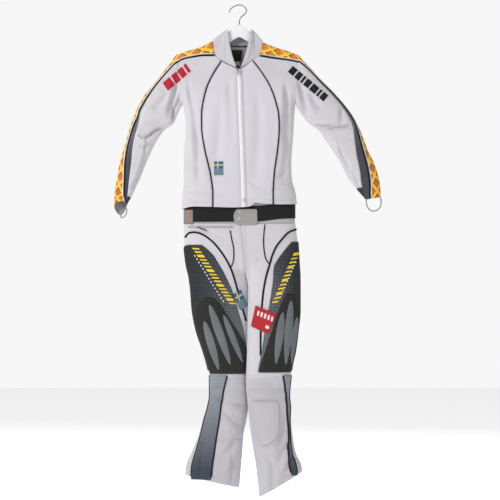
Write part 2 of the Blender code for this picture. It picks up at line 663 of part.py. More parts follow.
def build_overarm(side):
    shares = (-1.0, -0.72, -0.45, -0.22, 0.0, 0.22, 0.45, 0.72, 1.0)
    outer, inner = [], []
    for index, x in enumerate(reversed(STRIP_ROWS[side][1:])):
        row = []
        for share in shares:
            turn = abs(share) * shoulder_turn(side, x, 1 if share > 0 else -1, SEAM / 2)
            shift = NECK_SHIFT[side] * (1.0 - share * share) if index == 0 else 0.0
            row.append(over_shoulder(side, x - shift, turn))
        outer.append([point for point, _ in row])
        inner.append([point - normal * WALL for point, normal in row])
    sleeve = arm_strip(side, STRIP, -1.0, 1.0)
    for station in list(range(CUFF_SEAM + 1)) + [CUFF_SEAM + 0.5, CUFF_SEAM + 1]:
        row = [sleeve(station, (share + 1.0) / 2) for share in shares]
        outer.append([point for point, _ in row])
        inner.append([point - normal * WALL for point, normal in row])
    wall_of_rows("overarm_" + side, outer, inner, ORANGE)


def build_sleeve(side):
    def surface(row, across):
        column = STRIP if row < STRIPE_START else MESH
        seam = share_turn(side, row, column) + gap_turn(side, row)
        turn = between(seam, 2 * math.pi - seam, across)
        return arm_place(side, cuff_row(side, row, turn), turn)

    sew("sleeve_" + side, surface, range(CUFF_SEAM + 1), spread(10), PALE)
    rows = (CUFF_SEAM + 0.012, CUFF_SEAM + 0.5, CUFF_SEAM + 1)
    sew("cuff_gusset_" + side, surface, rows, spread(6), DARK)


def build_mesh_stripes(side):
    for name, face in (("front", 1), ("back", -1)):

        def surface(row, across):
            low = share_turn(side, row, STRIP) + gap_turn(side, row)
            high = share_turn(side, row, MESH) - gap_turn(side, row)
            turn = face * between(low, high, across)
            return arm_place(side, cuff_row(side, row, turn), turn)

        rows = list(range(STRIPE_START, CUFF_SEAM + 1)) + [CUFF_SEAM + 0.5, CUFF_SEAM + 1]
        sew(f"forearm_mesh_{name}_{side}", surface, rows, spread(2), DARK)


def build_overarm_piping(side):
    """The black cord beside the strip's front seam, from the collar to the cuff."""
    half = PIPING_WIDTH / 2
    outer, inner = [], []

    def add(pair):
        outer.append([point + normal * (LIFT + PIPING_HEIGHT) for point, normal in pair])
        inner.append([point + normal * LIFT for point, normal in pair])

    for x in reversed(STRIP_ROWS[side][1:-1]):
        turn = shoulder_turn(side, x)
        wide = half / CLOTH_PER_TURN
        add([over_shoulder(side, x, turn + sign * wide) for sign in (-1, 1)])
    for row in list(range(1, CUFF_SEAM + 1)) + [CUFF_SEAM + 0.5]:
        turn = share_turn(side, row, STRIP)
        outer_x, outer_z, inner_x, inner_z, deep = ARM[side][min(int(row), CUFF_SEAM)][:5]
        width = math.hypot(outer_x - inner_x, outer_z - inner_z) / 2
        wide = half / math.hypot(width * math.sin(turn), deep * math.cos(turn))
        add([arm_place(side, cuff_row(side, row, turn), turn + sign * wide) for sign in (-1, 1)])
    wall_of_rows("overarm_piping_" + side, outer, inner, BLACK)


# Elastic hand loop: x, y and z of its route below the cuff, for each hand
HAND_LOOP = {
    "right": ((-0.3615, -0.0024, -0.6479), (-0.3600, -0.0028, -0.6570), (-0.3625, 0.0000, -0.6680),
              (-0.3700, 0.0045, -0.6765), (-0.3780, 0.0085, -0.6790), (-0.3801, 0.0099, -0.6724)),
    "left": ((0.4060, -0.001, -0.6219), (0.4080, -0.002, -0.6400), (0.4160, -0.003, -0.6530),
             (0.4310, -0.003, -0.6580), (0.4450, -0.002, -0.6520), (0.4530, -0.001, -0.6380),
             (0.4522, 0.000, -0.6141)),
}


def build_hand_loop(side):
    tube("hand_loop_" + side, HAND_LOOP[side], 0.0021, GREY, 2, 1)


def tube(name, points, radius, finish, bevel_resolution, rounds=2):
    """A round cord or wire along a smooth curve through some points."""
    curve = bpy.data.curves.new(name, "CURVE")
    curve.dimensions = "3D"
    curve.bevel_depth = radius
    curve.bevel_resolution = bevel_resolution
    curve.use_fill_caps = True
    route = smooth_route([Vector(p) for p in points], rounds)
    line = curve.splines.new("POLY")
    line.points.add(len(route) - 1)
    for place, point in zip(line.points, route):
        place.co = (*point, 1.0)
    curve.materials.append(material(name, *finish))
    made = bpy.data.objects.new(name, curve)
    parts.objects.link(made)
    return made


def smooth_route(points, rounds):
    """Points on a smooth curve through the given ones, each span cut in 2 to the power of rounds."""
    cuts = 2 ** rounds
    padded = [points[0] * 2 - points[1]] + points + [points[-1] * 2 - points[-2]]
    route = []
    for a, b, c, d in zip(padded, padded[1:], padded[2:], padded[3:]):
        for i in range(cuts):
            t = i / cuts
            route.append(0.5 * (2 * b + (c - a) * t + (2 * a - 5 * b + 4 * c - d) * t * t
                                + (3 * b - a - 3 * c + d) * t ** 3))
    return route + [points[-1]]


# Collar and its labels

def collar_stations():
    return COLLAR["right"] + (COLLAR_BACK,) + COLLAR["left"][::-1]


def collar_place(index, height):
    """Outer point of the collar at a station and a share of its height."""
    stations = collar_stations()
    base_x, base_z, top_x, top_y, top_z = stations[index]
    last = len(stations) - 1
    nearest = min(index, last - index)
    face = 1 if nearest < COLLAR_RIDGE else -1
    base_y = 0.0 if nearest == COLLAR_RIDGE else -face * body_depth(base_x, base_z, face)
    base = Vector((base_x, base_y, base_z))
    top = Vector((top_x, top_y, top_z))
    bow = Vector((top_x, top_y, 0.0))
    bow = bow.normalized() * (COLLAR_BOW * math.sin(math.pi * height))
    return base.lerp(top, height) + bow


def build_collar():
    heights = spread(4)
    count = len(collar_stations())
    grid = [[collar_place(i, h) for i in range(count)] for h in heights]
    outer, inner = [], []
    for r, row in enumerate(grid):
        low, high = grid[max(0, r - 1)], grid[min(len(grid) - 1, r + 1)]
        inside = []
        for i, point in enumerate(row):
            run = row[min(count - 1, i + 1)] - row[max(0, i - 1)]
            normal = (high[i] - low[i]).cross(run).normalized()
            away = Vector((point.x, point.y - NECK_MIDDLE, 0.0))
            if normal.dot(away) < 0:
                normal.negate()
            inside.append(point - normal * WALL)
        outer.append(row)
        inner.append(inside)
    wall_of_rows("collar", outer, inner, PALE)


def build_labels():
    """The woven neck label and the small size tag below it, on the inside of the back."""

    def hanging(x, z, lift):
        depth = body_depth(x, z, -1)
        return Vector((x, depth - WALL - lift, z)), Vector((0.0, -1.0, 0.0))

    def label(row, column):
        half = between(0.0175, 0.0130, row)
        return hanging(between(-0.0075 - half, -0.0075 + half, column), between(-0.1415, -0.1770, row), LABEL_LIFT)

    def tag(row, column):
        return hanging(between(-0.0170, 0.0030, column), between(-0.1790, -0.1980, row), TAG_LIFT)

    sew("neck_label", label, spread(2), spread(2), BLACK, 0.0, TRIM)
    sew("size_tag", tag, spread(1), spread(1), WHITE, 0.0, TRIM)


# Waistband, belt and its hardware

def waist_place(x_or_turn, z, given_x=False):
    """Point and normal on the waist section. A turn of 0 is the right side, 90 the front."""
    if given_x:
        turn = math.acos((WAIST_CENTRE - x_or_turn) / WAIST_HALF_WIDTH)
    else:
        turn = x_or_turn

    def at(angle):
        deep = WAIST_HALF_DEPTH * bulge(math.cos(angle), SQUARENESS)
        sign = 1 if math.sin(angle) >= 0 else -1
        return Vector((WAIST_CENTRE - WAIST_HALF_WIDTH * math.cos(angle), -sign * deep, z))

    run = at(turn + 0.01) - at(turn - 0.01)
    return at(turn), Vector((run.y, -run.x, 0.0)).normalized()


# x, height of the belt's lower edge
BELT_BOTTOM = ((-0.180, -0.6930), (0.057, -0.6915), (0.135, -0.6830), (0.185, -0.6810))


def build_waist():
    turns = spread(32, 0.0, 2 * math.pi)[:-1]

    def band(row, turn):
        if row >= 0:
            return waist_place(turn, between(BAND_TOP, BAND_BOTTOM, row))
        right, left, _ = read_row(TORSO, BAND_JOIN)
        x = (right + left) / 2 - (left - right) / 2 * math.cos(turn)
        point, normal = body_place(x, BAND_JOIN, 1 if math.sin(turn) >= 0 else -1)
        return point - normal * (WALL + JOIN_GAP), normal

    def belt(row, turn):
        x = WAIST_CENTRE - WAIST_HALF_WIDTH * math.cos(turn)
        low = read_row(BELT_BOTTOM, x)[0]
        return waist_place(turn, between(low + BELT_HEIGHT, low, row))

    def tab(row, column):
        inset = 0.010 * (2 * row - 1) ** 2
        x = between(-0.0180 + inset, 0.0575, column)
        return waist_place(x, between(-0.6520, -0.7020, row), True)

    def belt_end(row, turn):
        return waist_place(turn, between(-0.6540, -0.6990, row))

    sew("waistband", band, (-1, 0, 1), turns, GREY, closed=True)
    sew("belt", belt, (0, 1), turns, BLACK, BELT_LIFT, BELT_LIFT + BELT_THICKNESS, closed=True)
    sew("belt_tab", tab, spread(4), spread(4), GREY, TAB_LIFT, TAB_LIFT + TAB_THICKNESS)
    turns = [math.radians(angle) for angle in (6, 12, 18, 25, 33)]
    sew("belt_end", belt_end, (0, 1), turns, GREY, TAB_LIFT, TAB_LIFT + TAB_THICKNESS)
    place, normal = waist_place(-0.0010, -0.6810, True)
    stud("belt_snap", place + normal * (TAB_LIFT + TAB_THICKNESS + AIR), BELT_SNAP_RADIUS)


# Trouser legs

def leg_section(side, z):
    outer_r, inner_r, inner_l, outer_l, deep, apart, wrap, square = read_row(LEGS, z)
    limit = math.radians(wrap)
    if side == "right":
        outer, inner, shift = outer_r, inner_r, apart
    else:
        outer, inner, shift = outer_l, inner_l, -apart
    reach = (outer - inner) / (1.0 - math.cos(limit))
    return outer - reach, reach, deep, shift, limit, square


def leg_place(side, z, turn):
    """Point and normal on a leg. A turn of 0 is the side seam, and it grows over the front."""
    centre, reach, deep, shift, _, square = leg_section(side, z)

    def at(angle):
        face = 1 if math.sin(angle) >= 0 else -1
        return Vector((centre + reach * math.cos(angle), shift - face * deep * bulge(math.cos(angle), square), z))

    run = at(turn + 0.01) - at(turn - 0.01)
    normal = Vector((run.y, -run.x, 0.0)).normalized()
    if side == "left":
        normal.negate()
    return at(turn), normal


def leg_turn(side, x, z):
    centre, reach = leg_section(side, z)[:2]
    return math.acos(min(1.0, max(-1.0, (x - centre) / reach)))


def leg_panel(side, face):
    """Surface of the front or the back of a leg, from the side seam to the inner seam."""
    rows = [row[0] for row in LEGS[:-1]]
    outer_end, inner_end = LEG_HEM[side]

    def surface(index, column):
        z = rows[min(index, len(rows) - 1)]
        turn = column * leg_section(side, z)[4]
        if index == len(rows):
            z = between(outer_end, inner_end, (1.0 - math.cos(turn)) / 2)
        point, normal = leg_place(side, z, face * turn)
        if column in (0.0, 1.0) and abs(math.sin(turn)) < 0.01:
            centre_y = leg_section(side, z)[3]
            point.y = centre_y - face * SEAM / 2
            normal = Vector((1.0 if (side == "left") == (column == 0.0) else -1.0, 0.0, 0.0))
        return point, normal

    return surface


def build_legs():
    for side in ("right", "left"):
        for name, face in (("front", 1), ("back", -1)):
            sew(f"trouser_{name}_{side}", leg_panel(side, face), range(len(LEGS)), spread(LEG_COLUMNS), PALE)
        build_thigh(side)
        build_guard(side)
        build_shin(side)
        build_stripe(side)
        build_thigh_piping(side)


def leg_patch(side, table, columns):
    """Surface between two edges on the front of a leg. An edge of None lies behind the side seam."""

    def surface(index, column):
        z, edge, far = table[index]
        start = math.radians(THIGH_TURN) if edge is None else leg_turn(side, edge, z)
        return leg_place(side, z, between(start, leg_turn(side, far, z), column))

    return surface, range(len(table)), spread(columns)


def build_thigh(side):
    sew("thigh_mesh_" + side, *leg_patch(side, THIGH[side], 10), DARK, THIGH_LIFT, THIGH_LIFT + TRIM)


def build_guard(side):
    """The moulded knee guard. Its ribs are raised in the outer skin."""
    base = THIGH_LIFT + TRIM + LIFT

    def height(point):
        rise = 0.0
        for x0, z0, x1, z1, half in RIBS[side]:
            along = (z0 - point.z) / (z0 - z1)
            if 0.0 <= along <= 1.0:
                taper = min(1.0, 6.0 * along, 8.0 * (1.0 - along)) ** 0.5
                across = (point.x - between(x0, x1, along)) / (half * max(0.2, taper))
                rise = max(rise, bulge(min(1.0, abs(across)), 4.0))
        return base + GUARD_THICKNESS + RIB_HEIGHT * rise

    sew("knee_guard_" + side, *leg_patch(side, GUARD[side], 16), DARK, base, height)


def build_shin(side):
    low = SHIN[side][-1][0]
    high = SHIN[side][0][0]

    def height(point):
        along = (high - point.z) / (high - low)
        return SHIN_BASE + SHIN_EDGE + SHIN_HEIGHT * bulge(2.0 * along - 1.0, 2.0)

    sew("shin_pad_" + side, *leg_patch(side, SHIN[side], 6), PALE, SHIN_BASE, height)


def build_stripe(side):
    """The grey mesh stripe. At the knee it reaches the side seam, lower down it leaves a pale flare."""
    table = STRIPE[side]

    def surface(index, column):
        z, front_x = table[index]
        rear = math.radians(between(*STRIPE_TURNS, smooth(index / (len(table) - 1))))
        return leg_place(side, z, between(rear, leg_turn(side, front_x, z), column))

    sew("shin_stripe_" + side, surface, range(len(table)), spread(5), GREY, LEG_LIFT, LEG_LIFT + TRIM)


def build_thigh_piping(side):
    table = THIGH_PIPING[side]
    outward = -1.0 if side == "right" else 1.0

    def surface(index, column):
        low = min(int(index), len(table) - 2)
        (z0, x0), (z1, x1) = table[low], table[low + 1]
        z, x = between(z0, z1, index - low), between(x0, x1, index - low)
        half = PIPING_WIDTH / 2 * min(2.6, math.hypot(1.0, (x1 - x0) / (z1 - z0)))
        edge = x + outward * between(half, -half, column)
        return leg_place(side, z, leg_turn(side, edge, z))

    rows = [i / 3 for i in range(7)] + [2 + i / 2 for i in range(1, 2 * len(table) - 5)]
    sew("thigh_piping_" + side, surface, rows, (0, 1), BLACK, LEG_LIFT, LEG_LIFT + PIPING_HEIGHT)


# Patches and the pocket

def build_patches():
    """The two sewn-on flags, the red badge and the zip of the hip pocket."""

    def chest(row, column):
        return body_place(between(-0.0800, -0.0510, column), between(-0.5000, -0.5440, row), 1)

    sew("chest_flag", chest, spread(2), spread(2), BLUE, LIFT, LIFT + TRIM)
    corners = ((-0.020, -0.924), (0.004, -0.909), (0.026, -0.961), (0.002, -0.975))
    slanted_patch("thigh_flag", "right", corners, BLUE, 3)
    corners = ((0.053, -0.959), (0.119, -0.986), (0.092, -1.049), (0.039, -1.025))
    slanted_patch("thigh_badge", "left", corners, RED, 5)

    def pocket(row, column):
        x = between(-0.1620, -0.0200, column)
        z = between(-0.7058, -0.7118, row)
        return leg_place("right", z, leg_turn("right", x, z))

    sew("pocket_zip", pocket, (0, 1), spread(7), GREY, LEG_LIFT, LEG_LIFT + TRIM)


def slanted_patch(name, side, corners, finish, steps):
    """A four-cornered patch sewn on at a slant. Corners: top outer, top inner, bottom inner, bottom outer."""
    a, b, c, d = corners
    height = LEG_LIFT + PIPING_HEIGHT + AIR

    def surface(row, column):
        x = between(between(a[0], b[0], column), between(d[0], c[0], column), row)
        z = between(between(a[1], b[1], column), between(d[1], c[1], column), row)
        return leg_place(side, z, leg_turn(side, x, z))

    sew(name, surface, spread(steps), spread(steps), finish, height, height + TRIM)


# Hanger

def build_hanger():
    """A flat shoulder hanger under the shoulder line, and its wire hook."""
    tops = [(x, under_strip("right", x)) for x in (-0.180, *STRIP_ROWS["right"][3:-1], -0.090)]
    tops += [(x, read_row(SHOULDER, x)[0] - WALL - NECK_DROP) for x in (-0.082, -0.060)]
    tops += hump_points()
    tops += [(x, read_row(SHOULDER, x)[0] - WALL - NECK_DROP) for x in (0.060, 0.073)]
    tops += [(x, under_strip("left", x)) for x in (0.080, *STRIP_ROWS["left"][-2:2:-1], 0.168)]
    low = [(x, z - ARM_DEPTH * (0.7 if abs(x) > 0.15 else 1.0)) for x, z in tops if abs(x) > 0.05]
    right = [place for place in low if place[0] < 0]
    left = [place for place in low if place[0] > 0]
    outline = tops + left[::-1] + [(0.034, -0.1200), (0.000, -0.1010), (-0.034, -0.1200)] + right[::-1]
    curve = bpy.data.curves.new("hanger_body", "CURVE")
    curve.dimensions = "2D"
    curve.fill_mode = "BOTH"
    curve.extrude = HANGER_HALF
    line = curve.splines.new("POLY")
    line.points.add(len(outline) - 1)
    for place, (x, z) in zip(line.points, outline):
        place.co = (x, z, 0.0, 1.0)
    line.use_cyclic_u = True
    flat = bpy.data.objects.new("hanger_outline", curve)
    parts.objects.link(flat)
    bpy.context.view_layer.update()
    mesh = bpy.data.meshes.new_from_object(flat.evaluated_get(bpy.context.evaluated_depsgraph_get()))
    bpy.data.objects.remove(flat)
    shape = bmesh.new()
    shape.from_mesh(mesh)
    bmesh.ops.remove_doubles(shape, verts=shape.verts, dist=1e-5)
    bmesh.ops.rotate(shape, verts=shape.verts, cent=(0, 0, 0), matrix=upright())
    bmesh.ops.dissolve_limit(shape, angle_limit=0.01, verts=shape.verts, edges=shape.edges)
    rims = [edge for edge in shape.edges if abs(edge.calc_face_angle(0.0)) > 1.2]
    rims = [edge for edge in rims if abs(edge.verts[0].co.y - edge.verts[1].co.y) < 1e-6]
    bmesh.ops.bevel(shape, geom=rims, offset=0.0026, segments=2, affect="EDGES", profile=0.6)
    bmesh.ops.recalc_face_normals(shape, faces=shape.faces)
    shape.to_mesh(mesh)
    shape.free()
    mesh.materials.clear()
    mesh.name = "hanger_body"
    add_object("hanger_body", mesh, WHITE)
    # Route of the wire, from its free tip over the top to the hanger: x, z
    route = ((-0.0320, -0.0215), (-0.0290, -0.0130), (-0.0200, -0.0050), (-0.0090, 0.0000), (0.0010, 0.0016),
             (0.0120, -0.0010), (0.0205, -0.0085), (0.0225, -0.0180), (0.0180, -0.0270), (0.0090, -0.0345),
             (0.0025, -0.0430), (0.0003, -0.0530), (0.0000, -0.0618))
    tube("hanger_hook", [(x, 0.0, z) for x, z in route], WIRE / 2, STEEL, 2, 1)


def under_strip(side, x):
    """Height of the hanger under the strip over the shoulder, which is straight between its rows."""
    places = STRIP_ROWS[side][:-1] + [NECK_X[side] - NECK_SHIFT[side]]
    line = [(place, read_row(SHOULDER, place)[0]) for place in places]
    return read_row(line, x)[0] - WALL - HANGER_GAP


def hump_points():
    """The rounded middle of the hanger that shows in the neck opening."""
    points = []
    for angle in range(165, 0, -15):
        turn = math.radians(angle)
        points.append((0.0365 * math.cos(turn), -0.0960 + 0.0340 * math.sin(turn)))
    return points


def upright():
    return Matrix.Rotation(math.radians(90), 3, "X")


for thing in list(bpy.data.objects):
    bpy.data.objects.remove(thing)
parts = bpy.data.collections.new(SUIT)
bpy.context.scene.collection.children.link(parts)

build_body()
pull_hinge = build_zip()
build_arms()
build_collar()
build_labels()
build_waist()
build_legs()
build_patches()
build_hanger()
print("zip pull hinge at", [round(value, 4) for value in pull_hinge])
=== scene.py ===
# %% [markdown]
# # A one-piece outdoor suit on its hanger
# The real object is a race suit of soft quilted knit, sewn from long panels, with a printed strip
# over each arm, dark mesh on the thighs and moulded knee guards. It hangs flat and limp.
# One could drape it by simulation, but its shape is known from tables of half widths and half
# depths, so each panel is a grid of points on that form, and the folds are pushed into it.

# %% Modules and the frame
import json
import math

import bmesh
import bpy
import numpy as np
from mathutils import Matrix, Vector

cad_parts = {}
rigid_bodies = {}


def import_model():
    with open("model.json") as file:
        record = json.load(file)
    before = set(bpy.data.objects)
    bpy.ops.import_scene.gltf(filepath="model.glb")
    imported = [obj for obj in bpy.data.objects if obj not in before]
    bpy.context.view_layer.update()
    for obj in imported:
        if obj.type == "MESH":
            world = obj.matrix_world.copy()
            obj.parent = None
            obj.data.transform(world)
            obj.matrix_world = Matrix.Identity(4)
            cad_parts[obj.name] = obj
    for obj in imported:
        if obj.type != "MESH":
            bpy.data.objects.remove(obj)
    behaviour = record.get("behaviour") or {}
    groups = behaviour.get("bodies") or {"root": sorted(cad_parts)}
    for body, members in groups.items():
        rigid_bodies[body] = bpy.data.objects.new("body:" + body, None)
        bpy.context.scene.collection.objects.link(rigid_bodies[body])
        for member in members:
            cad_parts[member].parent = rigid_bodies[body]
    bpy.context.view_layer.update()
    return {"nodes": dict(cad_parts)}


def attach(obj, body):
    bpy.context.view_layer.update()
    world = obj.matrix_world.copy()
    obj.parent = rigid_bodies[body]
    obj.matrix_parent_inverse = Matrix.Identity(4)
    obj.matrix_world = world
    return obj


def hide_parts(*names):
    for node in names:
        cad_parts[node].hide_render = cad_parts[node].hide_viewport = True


for leftover in list(bpy.data.objects):
    bpy.data.objects.remove(leftover)
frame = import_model()
print("nodes in the frame:", len(frame["nodes"]))

# %% [markdown]
# ## Camera, light and floor
# The suit was seen straight from the front through a long lens, so widths and heights keep their
# proportions. A large soft light from the front and a pale world give few shadows, and one light
# from the side lets the folds show. The floor lies well below the hems.

# %% Camera, lights and floor
camera_data = bpy.data.cameras.new("camera")
camera_data.sensor_width = 36.0
camera_data.lens = 180.0
camera_data.clip_end = 60.0
camera = bpy.data.objects.new("camera", camera_data)
camera.location = (0.0342, -8.0, -0.7824)
camera.rotation_euler = (math.radians(90), 0.0, 0.0)
bpy.context.scene.collection.objects.link(camera)
bpy.context.scene.camera = camera


def area_light(name, place, target, size, power):
    data = bpy.data.lights.new(name, "AREA")
    data.shape = "DISK"
    data.size = size
    data.energy = power
    lamp = bpy.data.objects.new(name, data)
    lamp.location = place
    lamp.rotation_euler = (Vector(target) - Vector(place)).to_track_quat("-Z", "Y").to_euler()
    bpy.context.scene.collection.objects.link(lamp)
    return lamp


area_light("key", (-3.4, -2.5, 1.7), (0.0, 0.0, -0.7), 1.1, 150.0)
area_light("fill", (2.6, -4.0, 0.4), (0.0, 0.0, -0.8), 2.6, 28.0)
area_light("back", (0.8, 3.4, 1.4), (0.0, 0.0, -0.7), 2.0, 95.0)
world = bpy.data.worlds.new("studio")
bpy.context.scene.world = world
world.use_nodes = True
world.node_tree.nodes["Background"].inputs["Color"].default_value = (1.0, 1.0, 1.0, 1.0)
world.node_tree.nodes["Background"].inputs["Strength"].default_value = 0.46
white_paper = world.node_tree.nodes.new("ShaderNodeBackground")
seen, choose = world.node_tree.nodes.new("ShaderNodeLightPath"), world.node_tree.nodes.new("ShaderNodeMixShader")
for source, target in ((seen.outputs["Is Camera Ray"], choose.inputs[0]), (white_paper.outputs[0], choose.inputs[2]),
                       (world.node_tree.nodes["Background"].outputs[0], choose.inputs[1]),
                       (choose.outputs[0], world.node_tree.nodes["World Output"].inputs[0])):
    world.node_tree.links.new(source, target)
white_paper.inputs["Color"].default_value = (0.93, 0.93, 0.93, 1.0)
bpy.context.scene.view_settings.view_transform = "Standard"

floor_mesh = bpy.data.meshes.new("floor")
floor_mesh.from_pydata([(-9, -9, -1.72), (9, -9, -1.72), (9, 9, -1.72), (-9, 9, -1.72)], [], [(0, 1, 2, 3)])
floor = bpy.data.objects.new("floor", floor_mesh)
paper = bpy.data.materials.new("floor paper")
paper.use_nodes = True
paper.node_tree.nodes["Principled BSDF"].inputs["Base Color"].default_value = (0.90, 0.90, 0.90, 1.0)
paper.node_tree.nodes["Principled BSDF"].inputs["Roughness"].default_value = 0.9
paper.node_tree.nodes["Principled BSDF"].inputs["Emission Color"].default_value = (1.0, 1.0, 1.0, 1.0)
paper.node_tree.nodes["Principled BSDF"].inputs["Emission Strength"].default_value = 0.42
floor_mesh.materials.append(paper)
bpy.context.scene.collection.objects.link(floor)

# %% [markdown]
# ## Sizes of the suit
# A maker's pattern is a list of widths at heights. These tables are the same sizes that the solids
# were made from. Between two rows the cloth runs in a smooth line that never overshoots.

# %% Sizes
WALL = 0.0016
PIPING_HALF = 0.0018
ARMPIT = -0.316
RIDGE_HALF = 0.0090
# height, right side x, left side x, half depth
TORSO = (
    (-0.100, -0.206, 0.186, 0.020), (-0.157, -0.201, 0.188, 0.023), (-0.236, -0.191, 0.183, 0.029),
    (-0.316, -0.1805, 0.1790, 0.035), (-0.341, -0.1755, 0.1770, 0.036), (-0.366, -0.1720, 0.1750, 0.036),
    (-0.414, -0.1720, 0.1730, 0.036), (-0.462, -0.1760, 0.1690, 0.036), (-0.510, -0.1770, 0.1665, 0.036),
    (-0.558, -0.1770, 0.1690, 0.038), (-0.603, -0.1815, 0.1810, 0.041), (-0.660, -0.1850, 0.1865, 0.0425),
)
# x, height of the shoulder line over the hanger
SHOULDER = (
    (-0.201, -0.1570), (-0.163, -0.1450), (-0.114, -0.1290), (-0.086, -0.1140), (-0.040, -0.1040),
    (0.000, -0.1020), (0.040, -0.1060), (0.076, -0.1170), (0.101, -0.1285), (0.146, -0.1430), (0.188, -0.1580),
)
# x, height of the seam between front and overarm strip, then collar
FRONT_TOP = (
    (-0.201, -0.1850), (-0.184, -0.1730), (-0.147, -0.1645), (-0.114, -0.1600), (-0.080, -0.1600),
    (-0.055, -0.1795), (-0.023, -0.1955), (-0.004, -0.2035), (0.002, -0.2035), (0.018, -0.1950),
    (0.042, -0.1765), (0.065, -0.1620), (0.099, -0.1670), (0.136, -0.1720), (0.176, -0.1780), (0.188, -0.1820),
)
BACK_TOP = (
    (-0.201, -0.1850), (-0.184, -0.1730), (-0.147, -0.1645), (-0.114, -0.1590), (-0.0785, -0.1500),
    (-0.050, -0.1268), (0.000, -0.1300), (0.045, -0.1278), (0.0655, -0.1520),
    (0.099, -0.1670), (0.136, -0.1720), (0.176, -0.1780), (0.188, -0.1820),
)
# x, height of the upper part's hem
HEM = (
    (-0.185, -0.6520), (-0.148, -0.6440), (-0.093, -0.6450), (-0.022, -0.6470), (0.012, -0.6460),
    (0.036, -0.6430), (0.052, -0.6310), (0.078, -0.6350), (0.135, -0.6370), (0.186, -0.6360),
)
# height, x of the right princess seam, of the zip, of the left princess seam
SEAMS = (
    (-0.176, -0.055, -0.004, 0.042), (-0.219, -0.082, -0.002, 0.074), (-0.260, -0.102, 0.000, 0.098),
    (-0.305, -0.114, 0.001, 0.115), (-0.350, -0.120, 0.003, 0.125), (-0.391, -0.120, 0.004, 0.127),
    (-0.460, -0.110, 0.007, 0.122), (-0.544, -0.091, 0.010, 0.111), (-0.604, -0.084, 0.012, 0.108),
    (-0.660, -0.084, 0.013, 0.108),
)
# Sleeve stations: outer x and z, underarm x and z, half depth, share of the strip, of strip and mesh
ARM = {
    "right": (
        (-0.201, -0.157, -0.181, -0.316, 0.020, 0.167, 0.167), (-0.238, -0.206, -0.187, -0.326, 0.022, 0.085, 0.085),
        (-0.273, -0.250, -0.197, -0.347, 0.024, 0.065, 0.077), (-0.302, -0.286, -0.212, -0.379, 0.025, 0.085, 0.120),
        (-0.327, -0.331, -0.238, -0.398, 0.025, 0.085, 0.140), (-0.347, -0.382, -0.260, -0.427, 0.024, 0.095, 0.210),
        (-0.363, -0.437, -0.284, -0.472, 0.022, 0.105, 0.290), (-0.379, -0.491, -0.303, -0.518, 0.020, 0.190, 0.440),
        (-0.390, -0.549, -0.324, -0.568, 0.018, 0.350, 0.570), (-0.399, -0.603, -0.345, -0.613, 0.016, 0.580, 0.770),
        (-0.400, -0.638, -0.358, -0.637, 0.014, 0.800, 0.900), (-0.393, -0.670, -0.367, -0.666, 0.011, 0.860, 0.930),
    ),
    "left": (
        (0.188, -0.158, 0.179, -0.316, 0.020, 0.150, 0.150), (0.223, -0.195, 0.187, -0.331, 0.022, 0.065, 0.065),
        (0.261, -0.237, 0.203, -0.354, 0.024, 0.045, 0.057), (0.300, -0.275, 0.225, -0.379, 0.025, 0.040, 0.072),
        (0.337, -0.318, 0.252, -0.398, 0.025, 0.040, 0.085), (0.370, -0.365, 0.274, -0.429, 0.024, 0.045, 0.115),
        (0.393, -0.414, 0.300, -0.466, 0.022, 0.100, 0.260), (0.413, -0.466, 0.325, -0.506, 0.020, 0.170, 0.420),
        (0.436, -0.518, 0.346, -0.549, 0.018, 0.270, 0.550), (0.450, -0.573, 0.373, -0.586, 0.016, 0.420, 0.750),
        (0.453, -0.613, 0.405, -0.621, 0.014, 0.700, 0.880),
    ),
}
CUFF_SEAM = 9
CUFF_END = {"right": (10.35, 0.75), "left": (10.0, 0.0)}
NECK_X = {"right": -0.0785, "left": 0.0655}
NECK_SHIFT = {"right": 0.0075, "left": -0.0110}
# Legs: height, right outer x, right inner x, left inner x, left outer x, half depth, shift apart, wrap, squareness
LEGS = (
    (-0.6975, -0.1780, 0.0033, 0.0037, 0.1795, 0.0335, 0.000, 90, 4.0),
    (-0.766, -0.1770, 0.0123, 0.0127, 0.1880, 0.0350, 0.000, 90, 3.6),
    (-0.800, -0.1740, 0.0158, 0.0162, 0.1900, 0.0360, 0.000, 96, 3.3),
    (-0.835, -0.1690, 0.0198, 0.0202, 0.1920, 0.0370, 0.001, 125, 2.8),
    (-0.869, -0.1610, 0.0250, 0.0262, 0.1940, 0.0375, 0.004, 180, 2.3),
    (-0.910, -0.1560, 0.0305, 0.0280, 0.1940, 0.0375, 0.012, 180, 2.0),
    (-0.974, -0.1510, 0.0345, 0.0265, 0.1940, 0.0370, 0.0150, 180, 2.0),
    (-1.038, -0.1390, 0.0340, 0.0250, 0.1880, 0.0360, 0.0150, 180, 2.0),
    (-1.102, -0.1180, 0.0335, 0.0240, 0.1800, 0.0350, 0.0150, 180, 2.0),
    (-1.154, -0.1030, 0.0290, 0.0220, 0.1690, 0.0340, 0.0145, 180, 2.0),
    (-1.198, -0.0950, 0.0260, 0.0205, 0.1640, 0.0340, 0.0135, 180, 2.0),
    (-1.246, -0.0950, 0.0280, 0.0230, 0.1600, 0.0345, 0.0130, 180, 2.0),
    (-1.288, -0.1030, 0.0285, 0.0280, 0.1640, 0.0355, 0.0120, 180, 2.0),
    (-1.326, -0.1160, 0.0230, 0.0320, 0.1650, 0.0370, 0.0110, 180, 2.0),
    (-1.378, -0.1320, 0.0130, 0.0380, 0.1710, 0.0390, 0.0100, 180, 2.0),
    (-1.429, -0.1530, 0.0100, 0.0460, 0.1810, 0.0410, 0.0100, 180, 2.0),
    (-1.474, -0.1710, 0.0060, 0.0530, 0.2000, 0.0430, 0.0100, 180, 2.0),
    (-1.580, -0.1800, -0.0020, 0.0640, 0.2120, 0.0450, 0.0100, 180, 2.0),
)
LEG_HEM = {"right": (-1.502, -1.542), "left": (-1.489, -1.571)}


